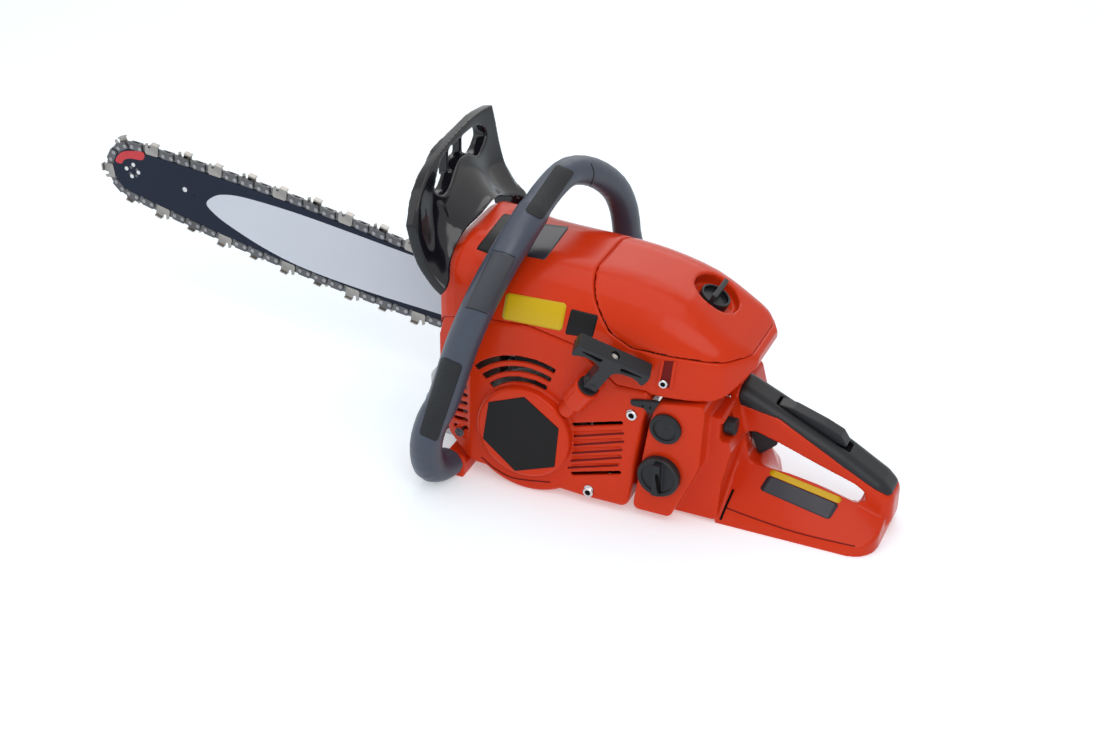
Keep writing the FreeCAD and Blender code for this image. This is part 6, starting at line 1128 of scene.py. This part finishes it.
# Painted shade: a black sheet in the slot of the cap's bar.
patch("fuel_cap_slot", CAP_SLOT, "fuel_cap", painted_shade_black, lift=0.25, round_share=0.3, columns=6)
lathe("fuel_cap_rim", CAP_RIM_PROFILE, side_face("fuel_cap", CAP_BAR_RISE), LEFT, satin_black,
      "fuel_cap")

# Front handle: knurled patches, seams between them and rings

KNURLS = [("handle_knurl_low", [(442, 356), (463, 365), (437, 442), (419, 434)], 40),
          ("handle_knurl_high", [(557, 164), (575, 172), (541.5, 220.5), (524.5, 211)], 30)]
KNURL_CELL = 1.7
for name, corners, rows in KNURLS:
    patch(name, corners, "front_handle", knurl_rubber, rows=rows, round_share=0.14,
          cell=KNURL_CELL)
HANDLE_SEAMS = [[(493.5, 250.5), (504, 252.5), (515.5, 257.5)],
                [(465, 307.5), (475, 309.5), (487.5, 314)],
                [(591, 163.5), (594, 174), (590, 187)]]
SEAM_WIDTH = 0.8
SEAM_LIFT = 0.12
for number, places in enumerate(HANDLE_SEAMS):
    ribbon(f"handle_seam_{number + 1}", places, SEAM_WIDTH, "front_handle", knurl_rubber,
           SEAM_LIFT)
HANDLE_RINGS = [(493, 251), (516, 258), (488, 313), (465.5, 307)]
RING_CELL = 6
patch("handle_rings", HANDLE_RINGS, "front_handle", ring_rubber, lift=0.2, rows=30,
      round_share=0.02, cell=RING_CELL)

# Stage

LAMPS = [
    ("key", (-0.9, 1.3, 1.7), 1.6, 16.5),
    ("fill", (1.5, 1.2, 1.3), 2.2, 9.0),
    ("back", (0.3, -1.6, 1.5), 1.8, 10.0),
    ("top", (0.1, 0.1, 2.2), 2.0, 13.5),
]
STAGE_CENTRE = Vector((0.1, 0.0, 0.1))
STAGE_REACH = 6.0
FLOOR_COLOUR = (0.80, 0.90, 0.97, 1)
FLOOR_ROUGHNESS = 0.9
FLOOR_GLOW = 0.33
WORLD_LIGHT = 0.3


def add_stage():
    """A pale floor that takes the shadow and shows white to the camera."""
    mesh = bpy.data.meshes.new("floor")
    mesh.from_pydata([(-STAGE_REACH, -STAGE_REACH, 0), (STAGE_REACH, -STAGE_REACH, 0),
                      (STAGE_REACH, STAGE_REACH, 0), (-STAGE_REACH, STAGE_REACH, 0)],
                     [], [(0, 1, 2, 3)])
    floor = bpy.data.objects.new("floor", mesh)
    bpy.context.scene.collection.objects.link(floor)
    material = bpy.data.materials.new("floor_paper")
    material.use_nodes = True
    tree = material.node_tree
    shader = tree.nodes["Principled BSDF"]
    shader.inputs["Base Color"].default_value = FLOOR_COLOUR
    shader.inputs["Roughness"].default_value = FLOOR_ROUGHNESS
    shader.inputs["Emission Color"].default_value = (1, 1, 1, 1)
    shader.inputs["Emission Strength"].default_value = FLOOR_GLOW
    mesh.materials.append(material)


def add_lamps():
    """Soft studio lamps that all face the saw."""
    for name, place, width, power in LAMPS:
        data = bpy.data.lights.new(name, "AREA")
        data.shape = "DISK"
        data.size = width
        data.energy = power
        lamp = bpy.data.objects.new(name, data)
        lamp.location = place
        aim = STAGE_CENTRE - Vector(place)
        lamp.rotation_euler = aim.to_track_quat("-Z", "Y").to_euler()
        bpy.context.scene.collection.objects.link(lamp)


def set_world():
    """A plain surround: white to the camera and in reflections, dimmer as a light."""
    world = bpy.data.worlds.new("studio")
    world.use_nodes = True
    tree = world.node_tree
    background = tree.nodes["Background"]
    background.inputs["Color"].default_value = (1, 1, 1, 1)
    rays = tree.nodes.new("ShaderNodeLightPath")
    seen = tree.nodes.new("ShaderNodeMath")
    seen.operation = "MAXIMUM"
    link(tree, rays, "Is Camera Ray", seen, 0)
    link(tree, rays, "Is Glossy Ray", seen, 1)
    through = tree.nodes.new("ShaderNodeMath")
    through.operation = "MAXIMUM"
    link(tree, seen, "Value", through, 0)
    link(tree, rays, "Is Transmission Ray", through, 1)
    strength = tree.nodes.new("ShaderNodeMapRange")
    strength.inputs["To Min"].default_value = WORLD_LIGHT
    strength.inputs["To Max"].default_value = 1.0
    link(tree, through, "Value", strength, "Value")
    link(tree, strength, "Result", background, "Strength")
    bpy.context.scene.world = world


add_stage()
add_lamps()
set_world()
bpy.context.scene.view_settings.view_transform = "Standard"
